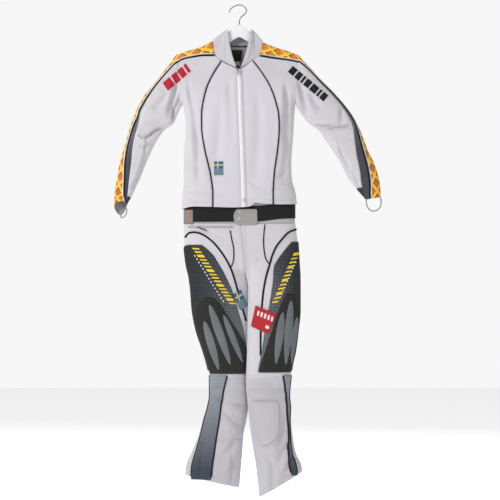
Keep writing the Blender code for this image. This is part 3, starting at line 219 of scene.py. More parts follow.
def read_row(table, column, at):
    """A column of a table at keys, along a smooth line through its rows that never overshoots."""
    rows = np.array(sorted(table), float)
    keys, values = rows[:, 0], rows[:, column]
    at = np.clip(np.asarray(at, float), keys[0], keys[-1])
    steps = np.diff(keys)
    rise = np.diff(values) / steps
    slope = np.zeros(len(keys))
    slope[0], slope[-1] = rise[0], rise[-1]
    same = rise[:-1] * rise[1:] > 0
    total = np.where(same, rise[:-1] + rise[1:], 1.0)
    slope[1:-1] = np.where(same, 2.0 * rise[:-1] * rise[1:] / total, 0.0)
    low = np.clip(np.searchsorted(keys, at) - 1, 0, len(keys) - 2)
    h = steps[low]
    t = (at - keys[low]) / h
    return (values[low] * (1 + 2 * t) * (1 - t) ** 2 + slope[low] * h * t * (1 - t) ** 2
            + values[low + 1] * t * t * (3 - 2 * t) + slope[low + 1] * h * t * t * (t - 1))


def smooth(share):
    share = np.clip(share, 0.0, 1.0)
    return share * share * (3.0 - 2.0 * share)


def bulge(cosine, squareness):
    return np.sqrt(np.maximum(0.0, 1.0 - np.minimum(1.0, np.abs(cosine)) ** squareness))


def mix(low, high, share):
    return low + (high - low) * share


print("chest half width", round(float(read_row(TORSO, 2, -0.4) - read_row(TORSO, 1, -0.4)) / 2, 4), "m")

# %% [markdown]
# ## Creases
# Limp cloth on a hanger shows long soft troughs, with a low ridge beside each. Every crease here is a
# line from one place to another as seen from the front, with its depth and half width. A deep narrow
# one is a crease, a shallow wide one a drape. The back has similar ones of its own.

# %% Creases
# face (+1 front, -1 back), x and height of the start, x and height of the end, depth, half width
CREASE_SHARE = 1.7
BODY_CREASES = (
    (1, -0.187, -0.283, -0.166, -0.345, 0.0060, 0.0055), (1, -0.158, -0.262, -0.136, -0.470, 0.0060, 0.0100),
    (1, -0.136, -0.400, -0.128, -0.560, 0.0030, 0.0090), (1, 0.148, -0.262, 0.158, -0.462, 0.0060, 0.0100),
    (1, 0.181, -0.283, 0.170, -0.340, 0.0060, 0.0055), (1, 0.160, -0.420, 0.146, -0.560, 0.0030, 0.0100),
    (1, -0.176, -0.470, -0.120, -0.535, 0.0016, 0.0100), (1, -0.172, -0.590, -0.060, -0.602, 0.0016, 0.0070),
    (1, 0.172, -0.585, 0.060, -0.600, 0.0016, 0.0070), (1, 0.030, -0.560, 0.085, -0.590, 0.0010, 0.0080),
    (1, -0.060, -0.330, -0.075, -0.560, 0.0018, 0.0160), (1, 0.062, -0.300, 0.058, -0.560, 0.0018, 0.0160),
    (1, -0.030, -0.250, -0.024, -0.420, 0.0012, 0.0110), (1, 0.168, -0.520, 0.120, -0.556, 0.0016, 0.0080),
    (-1, -0.150, -0.330, -0.080, -0.560, 0.0040, 0.0150), (-1, 0.145, -0.300, 0.090, -0.520, 0.0040, 0.0150),
    (-1, 0.010, -0.320, -0.020, -0.480, 0.0035, 0.0140), (-1, -0.182, -0.290, -0.150, -0.360, 0.0050, 0.0060),
    (-1, 0.176, -0.290, 0.150, -0.350, 0.0050, 0.0060), (-1, -0.060, -0.420, -0.050, -0.610, 0.0020, 0.0120),
    (-1, 0.060, -0.440, 0.050, -0.610, 0.0020, 0.0120), (-1, -0.160, -0.590, 0.010, -0.604, 0.0014, 0.0080),
)
ARM_CREASES = {
    "right": (
        (1, -0.202, -0.238, -0.217, -0.352, 0.0060, 0.0085), (1, -0.226, -0.290, -0.275, -0.332, 0.0042, 0.0110),
        (1, -0.210, -0.330, -0.205, -0.366, 0.0038, 0.0040), (1, -0.192, -0.290, -0.212, -0.372, 0.0045, 0.0050),
        (1, -0.322, -0.416, -0.294, -0.423, 0.0050, 0.0045), (1, -0.298, -0.424, -0.246, -0.394, 0.0072, 0.0055),
        (1, -0.330, -0.408, -0.326, -0.345, 0.0034, 0.0090), (1, -0.316, -0.452, -0.262, -0.443, 0.0030, 0.0100),
        (1, -0.292, -0.425, -0.318, -0.545, 0.0028, 0.0050), (1, -0.318, -0.545, -0.342, -0.585, 0.0028, 0.0045),
        (-1, -0.205, -0.240, -0.232, -0.350, 0.0050, 0.0100), (-1, -0.320, -0.410, -0.250, -0.398, 0.0055, 0.0060),
        (-1, -0.300, -0.450, -0.328, -0.560, 0.0025, 0.0080), (-1, -0.250, -0.270, -0.290, -0.350, 0.0030, 0.0110),
    ),
    "left": (
        (1, 0.192, -0.240, 0.214, -0.360, 0.0060, 0.0085), (1, 0.222, -0.286, 0.262, -0.330, 0.0042, 0.0110),
        (1, 0.246, -0.384, 0.300, -0.392, 0.0062, 0.0055), (1, 0.282, -0.402, 0.356, -0.382, 0.0062, 0.0050),
        (1, 0.330, -0.330, 0.322, -0.384, 0.0030, 0.0090), (1, 0.300, -0.425, 0.360, -0.420, 0.0026, 0.0090),
        (1, 0.318, -0.440, 0.352, -0.540, 0.0028, 0.0052), (1, 0.352, -0.520, 0.388, -0.580, 0.0024, 0.0050),
        (-1, 0.198, -0.245, 0.226, -0.360, 0.0050, 0.0100), (-1, 0.262, -0.392, 0.345, -0.378, 0.0055, 0.0060),
        (-1, 0.330, -0.440, 0.372, -0.560, 0.0025, 0.0080),
    ),
}
LEG_CREASES = {
    "right": (
        (1, -0.010, -0.735, -0.120, -0.728, 0.0012, 0.0060), (1, 0.010, -0.860, -0.060, -0.800, 0.0030, 0.0080),
        (1, 0.014, -0.880, -0.016, -0.800, 0.0026, 0.0060), (1, -0.080, -1.215, 0.015, -1.226, 0.0026, 0.0060),
        (1, -0.070, -1.255, 0.020, -1.280, 0.0032, 0.0080), (1, -0.050, -1.300, 0.005, -1.345, 0.0026, 0.0080),
        (1, -0.010, -1.390, -0.060, -1.450, 0.0028, 0.0090), (1, -0.004, -1.440, -0.040, -1.505, 0.0026, 0.0080),
        (1, -0.020, -1.430, -0.024, -1.530, 0.0024, 0.0070), (1, -0.110, -1.380, -0.125, -1.500, 0.0030, 0.0090),
        (1, -0.100, -1.230, -0.045, -1.270, 0.0020, 0.0080), (1, -0.140, -0.720, -0.040, -0.742, 0.0012, 0.0060),
        (-1, -0.120, -1.180, 0.010, -1.205, 0.0045, 0.0090), (-1, -0.090, -1.150, 0.015, -1.165, 0.0035, 0.0080),
        (-1, -0.080, -0.860, 0.010, -0.890, 0.0040, 0.0120), (-1, -0.130, -0.800, -0.020, -0.860, 0.0030, 0.0120),
        (-1, -0.060, -1.260, -0.080, -1.480, 0.0035, 0.0110), (-1, -0.110, -1.300, -0.130, -1.490, 0.0030, 0.0100),
    ),
    "left": (
        (1, 0.020, -0.860, 0.080, -0.800, 0.0030, 0.0080), (1, 0.024, -0.890, 0.040, -0.800, 0.0024, 0.0060),
        (1, 0.026, -1.228, 0.150, -1.232, 0.0030, 0.0060), (1, 0.036, -1.255, 0.150, -1.262, 0.0028, 0.0070),
        (1, 0.140, -1.300, 0.130, -1.420, 0.0026, 0.0080), (1, 0.060, -1.420, 0.110, -1.470, 0.0028, 0.0080),
        (1, 0.160, -1.390, 0.120, -1.470, 0.0028, 0.0080), (1, 0.180, -1.430, 0.140, -1.500, 0.0030, 0.0080),
        (1, 0.070, -1.460, 0.066, -1.550, 0.0024, 0.0070), (1, 0.110, -1.450, 0.104, -1.555, 0.0028, 0.0090),
        (1, 0.040, -1.200, 0.110, -1.212, 0.0020, 0.0050),
        (-1, 0.030, -1.185, 0.150, -1.205, 0.0045, 0.0090), (-1, 0.040, -1.150, 0.150, -1.162, 0.0035, 0.0080),
        (-1, 0.040, -0.880, 0.140, -0.860, 0.0040, 0.0120), (-1, 0.030, -0.820, 0.150, -0.800, 0.0030, 0.0120),
        (-1, 0.100, -1.260, 0.110, -1.500, 0.0035, 0.0110), (-1, 0.070, -1.400, 0.074, -1.550, 0.0030, 0.0100),
    ),
}


def crease_field(points, face, creases):
    """How far the creases push the cloth in at each point. face is +1 on the front, -1 on the back."""
    x, z = points[..., 0], points[..., 2]
    total = np.zeros(x.shape)
    for side, x0, z0, x1, z1, deep, half in creases:
        run = np.array((x1 - x0, z1 - z0))
        long = np.hypot(*run)
        along = ((x - x0) * run[0] + (z - z0) * run[1]) / long ** 2
        across = ((x - x0) * run[1] - (z - z0) * run[0]) / long
        across = across + 0.0025 * np.sin(along * 5.0 + x0 * 90.0)
        ends = smooth((along + 0.18) / 0.40) * smooth((1.22 - along) / 0.45)
        wide = half * (0.75 + 0.5 * np.clip(along, 0.0, 1.0))
        trough = np.exp(-(across / wide) ** 2)
        ridge = 0.38 * np.exp(-((across - 2.1 * wide) / (1.2 * wide)) ** 2)
        here = 1.0 if side == face else 0.0
        total += here * deep * ends * (trough - ridge)
    return -total * CREASE_SHARE


def soft_unevenness(points, strength=0.0005):
    """The slight waviness of cloth that is never quite flat."""
    x, y, z = points[..., 0], points[..., 1], points[..., 2]
    return strength * (np.sin(43.0 * x + 17.0 * z + 1.7) * np.sin(29.0 * z - 11.0 * x)
                       + 0.6 * np.sin(91.0 * z + 37.0 * x + 50.0 * y))


print("creases:", len(BODY_CREASES) + sum(len(v) for v in ARM_CREASES.values()) + sum(len(v) for v in LEG_CREASES.values()))

# %% [markdown]
# ## From a grid of points to a piece of cloth
# A panel is a grid of points with a UV map measured in metres, so that a weave has its true size all
# over it. Sewn edges dip a little, which is what makes a seam readable. Solidify gives the cloth its
# thickness inwards and closes its rim.

# %% Making pieces
def unit(vectors):
    return vectors / np.maximum(np.linalg.norm(vectors, axis=-1, keepdims=True), 1e-12)


def grid_normals(points, outward):
    """Normals of a grid, all turned to the side that outward points to."""
    across = np.gradient(points, axis=1)
    down = np.gradient(points, axis=0)
    normals = unit(np.cross(across, down))
    sign = np.where((normals * outward).sum(-1, keepdims=True) < 0, -1.0, 1.0)
    return normals * sign


def arc_lengths(points):
    """Distances along the rows and down the columns of a grid, in metres."""
    along = np.linalg.norm(np.diff(points, axis=1), axis=-1)
    u = np.concatenate([np.zeros((len(points), 1)), np.cumsum(along, axis=1)], axis=1)
    down = np.linalg.norm(np.diff(points, axis=0), axis=-1).mean(1)
    v = np.concatenate([[0.0], np.cumsum(down)])
    return u, np.repeat(v[:, None], points.shape[1], axis=1)


def seam_dip(u, v, sewn, depth=0.0010, width=0.0026):
    """The groove along a panel's sewn edges: l and r are its sides, t and b its ends."""
    dip = np.zeros(u.shape)
    for edge, away in (("l", u), ("r", u[:, -1:] - u), ("t", v), ("b", v[-1:] - v)):
        if edge in sewn:
            dip = np.maximum(dip, np.exp(-(away / width) ** 2))
    return -depth * dip


def grid_mesh(name, points, u, v, closed=False):
    """A mesh of quads over a grid, smooth, with its UV map in metres."""
    rows, columns = points.shape[:2]
    index = np.arange(rows * columns).reshape(rows, columns)
    ring = np.roll(index, -1, axis=1) if closed else index[:, 1:]
    start = index if closed else index[:, :-1]
    quads = np.stack([start[:-1], ring[:-1], ring[1:], start[1:]], -1).reshape(-1, 4)
    mesh = bpy.data.meshes.new(name)
    mesh.from_pydata(points.reshape(-1, 3), [], quads.tolist())
    layer = mesh.uv_layers.new(name="UVMap")
    corners = quads.reshape(-1)
    uv = np.stack([u.reshape(-1)[corners], v.reshape(-1)[corners]], -1)
    if closed:
        last = uv.reshape(-1, 4, 2)
        wrap = last[:, 1, 0] < last[:, 0, 0] - 1e-9
        span = u[:, -1].mean() + (u[:, -1] - u[:, -2]).mean()
        last[wrap, 1, 0] += span
        last[wrap, 2, 0] += span
    layer.data.foreach_set("uv", uv.reshape(-1))
    mesh.shade_smooth()
    return mesh


def outward_grid(mesh, normals):
    """Turns a grid's faces over if they look inwards."""
    first = mesh.polygons[len(mesh.polygons) // 2]
    if Vector(normals.reshape(-1, 3)[first.vertices[0]]).dot(first.normal) < 0:
        mesh.flip_normals()


def add_piece(name, mesh, finish, body="suit"):
    made = bpy.data.objects.new(name, mesh)
    bpy.context.scene.collection.objects.link(made)
    mesh.materials.clear()
    mesh.materials.append(finish)
    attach(made, body)
    return made


def shell(name, points, normals, finish, thickness=WALL, closed=False, uv=None, replaces=None, lining=None):
    """A piece of cloth from a grid of points on its outer face."""
    u, v = arc_lengths(points) if uv is None else uv
    mesh = grid_mesh(name, points, u, v, closed)
    outward_grid(mesh, normals)
    made = add_piece(name, mesh, finish)
    wall = made.modifiers.new("cloth thickness", "SOLIDIFY")
    wall.thickness = thickness
    wall.offset = -1.0
    if lining is not None:
        mesh.materials.append(lining)
        wall.material_offset = 1
        wall.material_offset_rim = 1
    if replaces:
        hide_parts(*([replaces] if isinstance(replaces, str) else replaces))
    return made


def declare_cloth(made, points, u, v):
    """Says how large the panel was cut: its extent and its area laid flat."""
    wide, long = float(u.max()), float(v.max())
    cells = np.linalg.norm(np.cross(points[1:, 1:] - points[:-1, :-1], points[1:, :-1] - points[:-1, 1:]), axis=-1)
    wide, long = round(wide, 5), round(long, 5)
    area = float(min(cells.sum() / 2, wide * long * 0.999))
    SHEETS.append((made.name, round(wide, 3), round(long, 3), round(area, 4)))


SHEETS = []
print("cloth thickness", WALL, "m")

# %% [markdown]
# ## Finishes
# The cloth is a matt knit with a faint sheen. A weave can be drawn as an image, but here it is made
# from sine waves along the UV map, so it stays sharp and follows each panel. Every finish has its own
# tone variation, and its bump is only as deep as the real weave. The weave also darkens the colour a
# little along its threads, which is painted shade.

# %% Helpers for materials
class Finish:
    """A material with short calls for the nodes it needs."""

    def __init__(self, name, roughness=0.8, sheen=0.0, metallic=0.0, specular=0.15, coat=0.0):
        self.material = bpy.data.materials.new(name)
        self.material.use_nodes = True
        self.tree = self.material.node_tree
        self.shader = self.tree.nodes["Principled BSDF"]
        self.shader.inputs["Roughness"].default_value = roughness
        self.shader.inputs["Sheen Weight"].default_value = sheen
        self.shader.inputs["Sheen Roughness"].default_value = 0.5
        self.shader.inputs["Metallic"].default_value = metallic
        self.shader.inputs["Specular IOR Level"].default_value = specular
        self.shader.inputs["Coat Weight"].default_value = coat

    def link(self, source, target):
        if isinstance(source, (int, float)):
            target.default_value = source
        elif isinstance(source, tuple):
            target.default_value = (*source, 1.0) if len(source) == 3 else source
        else:
            self.tree.links.new(source, target)

    def math(self, operation, a, b=0.0, c=0.0):
        made = self.tree.nodes.new("ShaderNodeMath")
        made.operation = operation
        for value, socket in zip((a, b, c), made.inputs):
            self.link(value, socket)
        return made.outputs[0]

    def mix(self, factor, a, b):
        made = self.tree.nodes.new("ShaderNodeMix")
        made.data_type = "RGBA"
        self.link(factor, made.inputs["Factor"])
        self.link(a, made.inputs["A"])
        self.link(b, made.inputs["B"])
        return made.outputs["Result"]

    def place(self, source="UV"):
        coordinates = self.tree.nodes.new("ShaderNodeTexCoord")
        split = self.tree.nodes.new("ShaderNodeSeparateXYZ")
        self.tree.links.new(coordinates.outputs[source], split.inputs[0])
        return split.outputs

    def noise(self, scale, detail=2.0, source="Object"):
        coordinates = self.tree.nodes.new("ShaderNodeTexCoord")
        made = self.tree.nodes.new("ShaderNodeTexNoise")
        made.inputs["Scale"].default_value = scale
        made.inputs["Detail"].default_value = detail
        self.tree.links.new(coordinates.outputs[source], made.inputs["Vector"])
        return made.outputs["Fac"]

    def wave(self, value, pitch, phase=0.0):
        """A sine of a length, once per pitch."""
        return self.math("SINE", self.math("MULTIPLY_ADD", value, 2 * math.pi / pitch, phase))

    def step(self, value, edge, soft=0.0004):
        """0 below an edge, 1 above it."""
        ramp = self.math("DIVIDE", self.math("SUBTRACT", value, edge), soft)
        made = self.tree.nodes.new("ShaderNodeClamp")
        self.link(ramp, made.inputs["Value"])
        return made.outputs[0]

    def inside(self, value, low, high, soft=0.0004):
        return self.math("MULTIPLY", self.step(value, low, soft), self.math("SUBTRACT", 1.0, self.step(value, high, soft)))

    def colour(self, value):
        self.link(value, self.shader.inputs["Base Color"])

    def bump(self, height, depth, strength=1.0):
        made = self.tree.nodes.new("ShaderNodeBump")
        made.inputs["Distance"].default_value = depth
        made.inputs["Strength"].default_value = strength
        self.link(height, made.inputs["Height"])
        self.tree.links.new(made.outputs[0], self.shader.inputs["Normal"])

    def weave(self, pitch_u, pitch_v, kind="plain"):
        """Height of a weave, about -1 to 1. Waffle has square pits, rib runs one way, twill leans."""
        u, v, _ = self.place()
        if kind == "rib":
            return self.wave(u, pitch_u)
        if kind == "twill":
            return self.wave(self.math("ADD", u, v), pitch_u)
        product = self.math("MULTIPLY", self.wave(u, pitch_u), self.wave(v, pitch_v))
        if kind == "waffle":
            edges = self.math("MAXIMUM", self.math("ABSOLUTE", self.wave(u, 2 * pitch_u)),
                              self.math("ABSOLUTE", self.wave(v, 2 * pitch_v)))
            return self.math("POWER", edges, 4.0)
        return product


def cloth_finish(name, colour, pitch=0.0014, kind="plain", depth=0.00022, tone=0.06, roughness=0.82, sheen=0.06):
    """A woven or knitted cloth: its colour, the pitch and kind of its weave, and how uneven its tone is."""
    made = Finish(name, roughness, sheen)
    height = made.weave(pitch, pitch, kind)
    cloud = made.noise(9.0, 4.0)
    fine = made.noise(160.0, 2.0)
    lighter = tuple(min(1.0, c * (1 + tone)) for c in colour)
    darker = tuple(c * (1 - tone) for c in colour)
    shade = made.mix(cloud, darker, lighter)
    # The weave's height darkens the colour a little along the threads, which is a painted shade of the weave. The fine
    # noise is real uneven tone.
    dim = made.math("MULTIPLY_ADD", made.math("ADD", height, made.math("MULTIPLY", fine, 1.5)), 0.030, 0.0)
    made.colour(made.mix(made.math("ADD", dim, 0.02), shade, tuple(c * 0.55 for c in colour)))
    made.bump(made.math("ADD", height, made.math("MULTIPLY", fine, 0.8)), depth)
    return made.material


PALE = (0.630, 0.612, 0.650)
LEG_PALE = (0.545, 0.525, 0.560)
BLACK = (0.013, 0.014, 0.017)
pale_knit = cloth_finish("pale knit", PALE, 0.0012)
pale_waffle = cloth_finish("pale waffle knit", (0.620, 0.603, 0.648), 0.0017, "waffle", 0.00030)
lining = cloth_finish("grey lining", (0.260, 0.260, 0.270), 0.0018, "plain", 0.00005, 0.05)
piping_black = cloth_finish("black piping", BLACK, 0.0011, "twill", 0.00020, 0.15, 0.60, 0.0)
loop_grey = cloth_finish("grey loop elastic", (0.330, 0.330, 0.330), 0.0009, "rib", 0.00015)
gusset_mesh = cloth_finish("cuff mesh", (0.045, 0.047, 0.053), 0.0016, "plain", 0.00035, 0.20, 0.75, 0.0)
collar_knit = cloth_finish("collar knit", (0.585, 0.570, 0.600), 0.0012)
print("cloth finishes:", len(bpy.data.materials))

# %% [markdown]
# ## The body panels
# Front and back are each one flat form with rounded sides. A section at any height is a squared
# ellipse, and near the shoulder the cloth narrows to the hanger's ridge. The panels between the seams
# are grids on that form. The centre fronts are waffle knit and the others are smooth.

# %% The body's form
def body_depth(x, z):
    """Distance of the unfolded body's surface from the middle plane."""
    right, left, deep = (read_row(TORSO, column, z) for column in (1, 2, 3))
    centre, half = (right + left) / 2, (left - right) / 2
    across = np.minimum(1.0, np.abs(x - centre) / half)
    below = np.maximum(0.0, read_row(SHOULDER, 1, x) - z)
    above = np.clip((z - ARMPIT) / 0.080, 0.0, 1.0)
    open_side = 0.80 * bulge(1.0 - above, 2.0)
    side = np.sqrt(np.maximum(0.0, 1.0 - (1.0 - open_side ** 2) * across ** 4))
    cap = bulge(1.0 - np.minimum(1.0, below / 0.0100), 2.0)
    return cap * side * mix(RIDGE_HALF, deep, smooth(below / 0.125))


def body_points(x, z, face):
    return np.stack([x, -face * np.maximum(body_depth(x, z), 0.0002), z], -1)


def body_grid(edge_a, edge_b, face, top, rows, columns, gap=0.0002):
    """Points between two edges of a panel, from its top seam past the underarm to the hem."""
    row = np.asarray(rows, float)[:, None]
    column = np.asarray(columns, float)[None, :]
    z = np.full((row.shape[0], column.shape[1]), ARMPIT)
    for _ in range(10):
        right, left = read_row(TORSO, 1, z), read_row(TORSO, 2, z)
        centre, half = (right + left) / 2, (left - right) / 2
        turns = [np.arccos(np.clip((centre - edge(z)) / half, -1.0, 1.0)) for edge in (edge_a, edge_b)]
        x = centre - half * np.cos(mix(turns[0], turns[1], column))
        upper = mix(read_row(top, 1, x) - gap, ARMPIT, row)
        lower = mix(ARMPIT, read_row(HEM, 1, x), row - 1.0)
        z = np.where(row <= 1.0, upper, lower)
    return body_points(x, z, face)


def side_edge(column):
    return lambda z: read_row(TORSO, column, z)


def seam_edge(column, shift=0.0):
    return lambda z: read_row(SEAMS, column, z) + shift


def body_outward(points, face):
    out = np.zeros(points.shape)
    out[..., 1] = -face
    out[..., 0] = np.sign(points[..., 0]) * 0.001
    return out


def fold_body(points, face):
    """Normals and folded places of body points."""
    normals = grid_normals(points, body_outward(points, face))
    right, left = read_row(TORSO, 1, points[..., 2]), read_row(TORSO, 2, points[..., 2])
    centre, half = (right + left) / 2, (left - right) / 2
    fade = smooth(5.0 * (1.0 - np.abs(points[..., 0] - centre) / half))
    fade = fade * smooth((read_row(SHOULDER, 1, points[..., 0]) - points[..., 2]) / 0.03)
    moved = (crease_field(points, face, BODY_CREASES) + soft_unevenness(points)) * fade
    return normals, points + normals * moved[..., None]


body_rows = np.concatenate([np.linspace(0.0, 1.0, 46), np.linspace(1.0, 2.0, 76)[1:]])
for side, column, princess, sign in (("right", 1, 1, 1.0), ("left", 2, 3, -1.0)):
    fine = smooth(np.linspace(0.0, 1.0, 42) * 0.5) * 2.0
    base = body_grid(side_edge(column), seam_edge(princess, -sign * 0.0002), 1, FRONT_TOP, body_rows, fine)
    normals, points = fold_body(base, 1)
    u, v = arc_lengths(points)
    points = points + normals * seam_dip(u, v, "rt")[..., None]
    made = shell("front_side_panel_" + side, points, normals, pale_knit, uv=(u, v), replaces="front_side_" + side,
                 lining=lining)
    declare_cloth(made, points, u, v)
    base = body_grid(seam_edge(princess, sign * 0.0002), seam_edge(2, -sign * 0.0002), 1, FRONT_TOP, body_rows,
                     np.linspace(0.0, 1.0, 38))
    normals, points = fold_body(base, 1)
    u, v = arc_lengths(points)
    points = points + normals * seam_dip(u, v, "lt")[..., None]
    made = shell("front_centre_panel_" + side, points, normals, pale_waffle, uv=(u, v),
                 replaces="front_centre_" + side, lining=lining)
    declare_cloth(made, points, u, v)
spread_back = (1.0 - np.cos(np.linspace(0.0, math.pi, 92))) / 2 * 0.25 + np.linspace(0.0, 1.0, 92) * 0.75
base = body_grid(side_edge(1), side_edge(2), -1, BACK_TOP, body_rows, spread_back)
normals, points = fold_body(base, -1)
u, v = arc_lengths(points)
points = points + normals * seam_dip(u, v, "t")[..., None]
made = shell("back_panel", points, normals, pale_knit, uv=(u, v), replaces="back", lining=lining)
declare_cloth(made, points, u, v)
print("body panels:", [entry[:3] for entry in SHEETS])

# %% [markdown]
# ## Cords and bands that lie on a surface
# Piping is a cord in a folded strip, sewn into a seam, so it stands up as a small half round. A patch
# is flat and its edge is turned under. Both are grids on the same form, lifted along its normals.

# %% Piping and patches
def lifted(name, points, normals, finish, profile, thickness=0.0004, replaces=None):
    """A thin piece over a surface. profile gives the height over each column."""
    raised = points + normals * profile[..., None]
    return shell(name, raised, normals, finish, thickness, replaces=replaces)


def piping_profile(points, height=0.0017, sink=0.0003):
    across = np.linspace(-1.0, 1.0, points.shape[1])[None, :]
    return np.repeat(bulge(across, 2.0) * (height + sink) - sink, len(points), axis=0)


def patch_profile(points, height, edge=0.0005):
    """Flat, with its rim turned down."""
    rows, columns = points.shape[:2]
    profile = np.full((rows, columns), height)
    profile[[0, -1], :] = height - edge
    profile[:, [0, -1]] = height - edge
    return profile


for side, princess in (("right", 1), ("left", 3)):
    edges = [seam_edge(princess, shift * 1.15 * PIPING_HALF) for shift in (-1, 1)]
    base = body_grid(*edges, 1, FRONT_TOP, body_rows, np.linspace(0, 1, 9), 0.0025)
    normals, points = fold_body(base, 1)
    lifted("princess_cord_" + side, points, normals, piping_black, piping_profile(points),
           replaces="princess_piping_" + side)
print("princess cords run from the shoulder to the hem")

# %% [markdown]
# ## The sleeves
# A sleeve is a row of ovals from the armhole to the cuff, each with its own tilt. Four strips run
# along it: the printed strip over the arm, a dark mesh stripe on either side of it, and the pale
# sleeve below. The cuff of the right sleeve is cut aslant, and its lining shows.

# %% The sleeve's form
def station(side, column, along):
    table = [(i, *row) for i, row in enumerate(ARM[side])]
    value = read_row(table, column + 1, along)
    end = float(len(table) - 1)
    slope = ARM[side][-1][column] - ARM[side][-2][column]
    return value + np.maximum(0.0, np.asarray(along, float) - end) * slope


def arm_points(side, along, turn):
    """Points round the sleeve. A turn of 0 is its outer edge, and it grows over the front."""
    along, turn = np.broadcast_arrays(np.asarray(along, float), np.asarray(turn, float))
    outer_x, outer_z, inner_x, inner_z, deep = (station(side, column, along) for column in range(5))
    cosine, sine = np.cos(turn), np.sin(turn)
    ring = np.stack([(outer_x + inner_x) / 2 + (outer_x - inner_x) / 2 * cosine, -deep * sine,
                     (outer_z + inner_z) / 2 + (outer_z - inner_z) / 2 * cosine], -1)
    outward = -1.0 if side == "right" else 1.0
    start = ARM[side][0]
    z = start[1] - (start[1] - start[3]) * (1.0 - cosine) / 2
    x = read_row(TORSO, 1 if side == "right" else 2, z)
    y = -np.sign(sine) * body_depth(x, z)
    armhole = np.stack([x + outward * 0.0004, y, z], -1)
    share = smooth(np.clip(along, 0.0, 1.0))[..., None]
    return mix(armhole, ring, share)


def arm_outward(side, along, points):
    middle = np.stack([(station(side, 0, along) + station(side, 2, along)) / 2, np.zeros(np.shape(along)),
                       (station(side, 1, along) + station(side, 3, along)) / 2], -1)
    return points - np.broadcast_to(middle, points.shape)


def share_turn(side, along, column):
    return np.arccos(1.0 - 2.0 * np.clip(station(side, column, np.clip(along, 0, len(ARM[side]) - 1.0)), 0.0, 1.0))


def cuff_row(side, row, turn):
    middle, slant = CUFF_END[side]
    end = middle - slant * np.sin(turn)
    return np.where(row <= CUFF_SEAM, row, mix(CUFF_SEAM, end, row - CUFF_SEAM))


def arm_grid(side, rows, low, high, columns):
    """Points between two seams of the sleeve. low and high give the turn of a seam at each row."""
    row = np.asarray(rows, float)[:, None]
    turn = mix(low(row), high(row), np.asarray(columns, float)[None, :])
    along = cuff_row(side, row, turn)
    return arm_points(side, along, turn), along, turn


def fold_arm(side, base, along, turn):
    normals = grid_normals(base, arm_outward(side, along, base))
    front = smooth(0.5 + 1.2 * np.sin(turn))
    moved = crease_field(base, 1, ARM_CREASES[side]) * front + crease_field(base, -1, ARM_CREASES[side]) * (1 - front)
    moved = moved * smooth(1.6 * np.abs(np.sin(turn))) + soft_unevenness(base, 0.0004)
    moved = moved * smooth(along / 0.8)
    return normals, base + normals * moved[..., None]


def seam_turn(side, column, shift=0.0):
    """The turn of a seam, moved by a distance in metres round the arm."""
    def at(row):
        turn = share_turn(side, row, column)
        half = np.hypot(station(side, 0, row) - station(side, 2, row), station(side, 1, row) - station(side, 3, row)) / 2
        round_it = np.hypot(half * np.sin(turn), station(side, 4, row) * np.cos(turn))
        return turn + shift / np.maximum(round_it, 0.006)
    return at


for side in ("right", "left"):
    sleeve_rows = np.linspace(0.0, CUFF_SEAM, 120)

    def sleeve_low(row, side=side):
        early = seam_turn(side, 5, 0.0002)(row)
        late = seam_turn(side, 6, 0.0002)(row)
        return mix(early, late, smooth((row - 1.6) / 0.5))

    def sleeve_high(row, low=sleeve_low):
        return 2 * math.pi - low(row)

    base, along, turn = arm_grid(side, sleeve_rows, sleeve_low, sleeve_high, np.linspace(0, 1, 88))
    normals, points = fold_arm(side, base, along, turn)
    u, v = arc_lengths(points)
    points = points + normals * seam_dip(u, v, "lrb")[..., None]
    made = shell("sleeve_panel_" + side, points, normals, pale_knit, uv=(u, v), replaces="sleeve_" + side, lining=lining)
    declare_cloth(made, points, u, v)
    base, along, turn = arm_grid(side, np.linspace(CUFF_SEAM + 0.012, CUFF_SEAM + 1, 24), sleeve_low, sleeve_high,
                                 np.linspace(0, 1, 60))
    normals, points = fold_arm(side, base, along, turn)
    u, v = arc_lengths(points)
    points = points + normals * seam_dip(u, v, "t")[..., None]
    made = shell("cuff_gusset_panel_" + side, points, normals, gusset_mesh, uv=(u, v), replaces="cuff_gusset_" + side,
                 lining=lining)
    declare_cloth(made, points, u, v)
print("sleeves and cuffs:", len(SHEETS), "panels so far")

# %% [markdown]
# ## The printed strip over the arm
# A strip of sublimated print runs from the collar over the shoulder to the cuff: orange diamonds with
# a dark lower edge, set in a yellow lattice, and a white band on both sides. The print follows the
# length of the strip, so its UV map starts from the strip's middle line.

# %% The lattice print
def lattice_finish():
    made = Finish("lattice print", 0.70, 0.08)
    w, u, _ = made.place()
    first = made.math("ADD", made.math("DIVIDE", u, 0.050), made.math("DIVIDE", w, 0.034))
    second = made.math("SUBTRACT", made.math("DIVIDE", u, 0.050), made.math("DIVIDE", w, 0.034))
    turns = [made.math("FRACT", made.math("ADD", value, 20.0)) for value in (first, second)]
    bands = [made.inside(turn, 0.26, 0.97, 0.03) for turn in turns]
    diamond = made.math("MULTIPLY", *bands)
    shadow = made.math("MAXIMUM", *[made.inside(turn, 0.26, 0.36, 0.03) for turn in turns])
    cloud = made.noise(26.0, 3.0)
    orange = made.mix(made.step(u, 0.36, 0.16), (0.640, 0.175, 0.050), (0.500, 0.085, 0.035))
    orange = made.mix(cloud, orange, (0.700, 0.230, 0.050))
    yellow = made.mix(cloud, (0.880, 0.480, 0.020), (0.930, 0.600, 0.060))
    colour = made.mix(diamond, yellow, made.mix(shadow, orange, (0.170, 0.050, 0.025)))
    edge = made.tree.nodes.new("ShaderNodeAttribute")
    edge.attribute_name = "edge_distance"
    white = made.math("SUBTRACT", 1.0, made.step(edge.outputs["Fac"], 0.0058, 0.0006))
    colour = made.mix(white, colour, (0.720, 0.710, 0.720))
    thread = made.weave(0.0011, 0.0011)
    # The weave darkens the print a little along its threads, which is a painted shade of the weave.
    made.colour(made.mix(made.math("MULTIPLY_ADD", thread, 0.05, 0.05), colour, (0.10, 0.05, 0.04)))
    made.bump(thread, 0.00016)
    return made.material


lattice = lattice_finish()


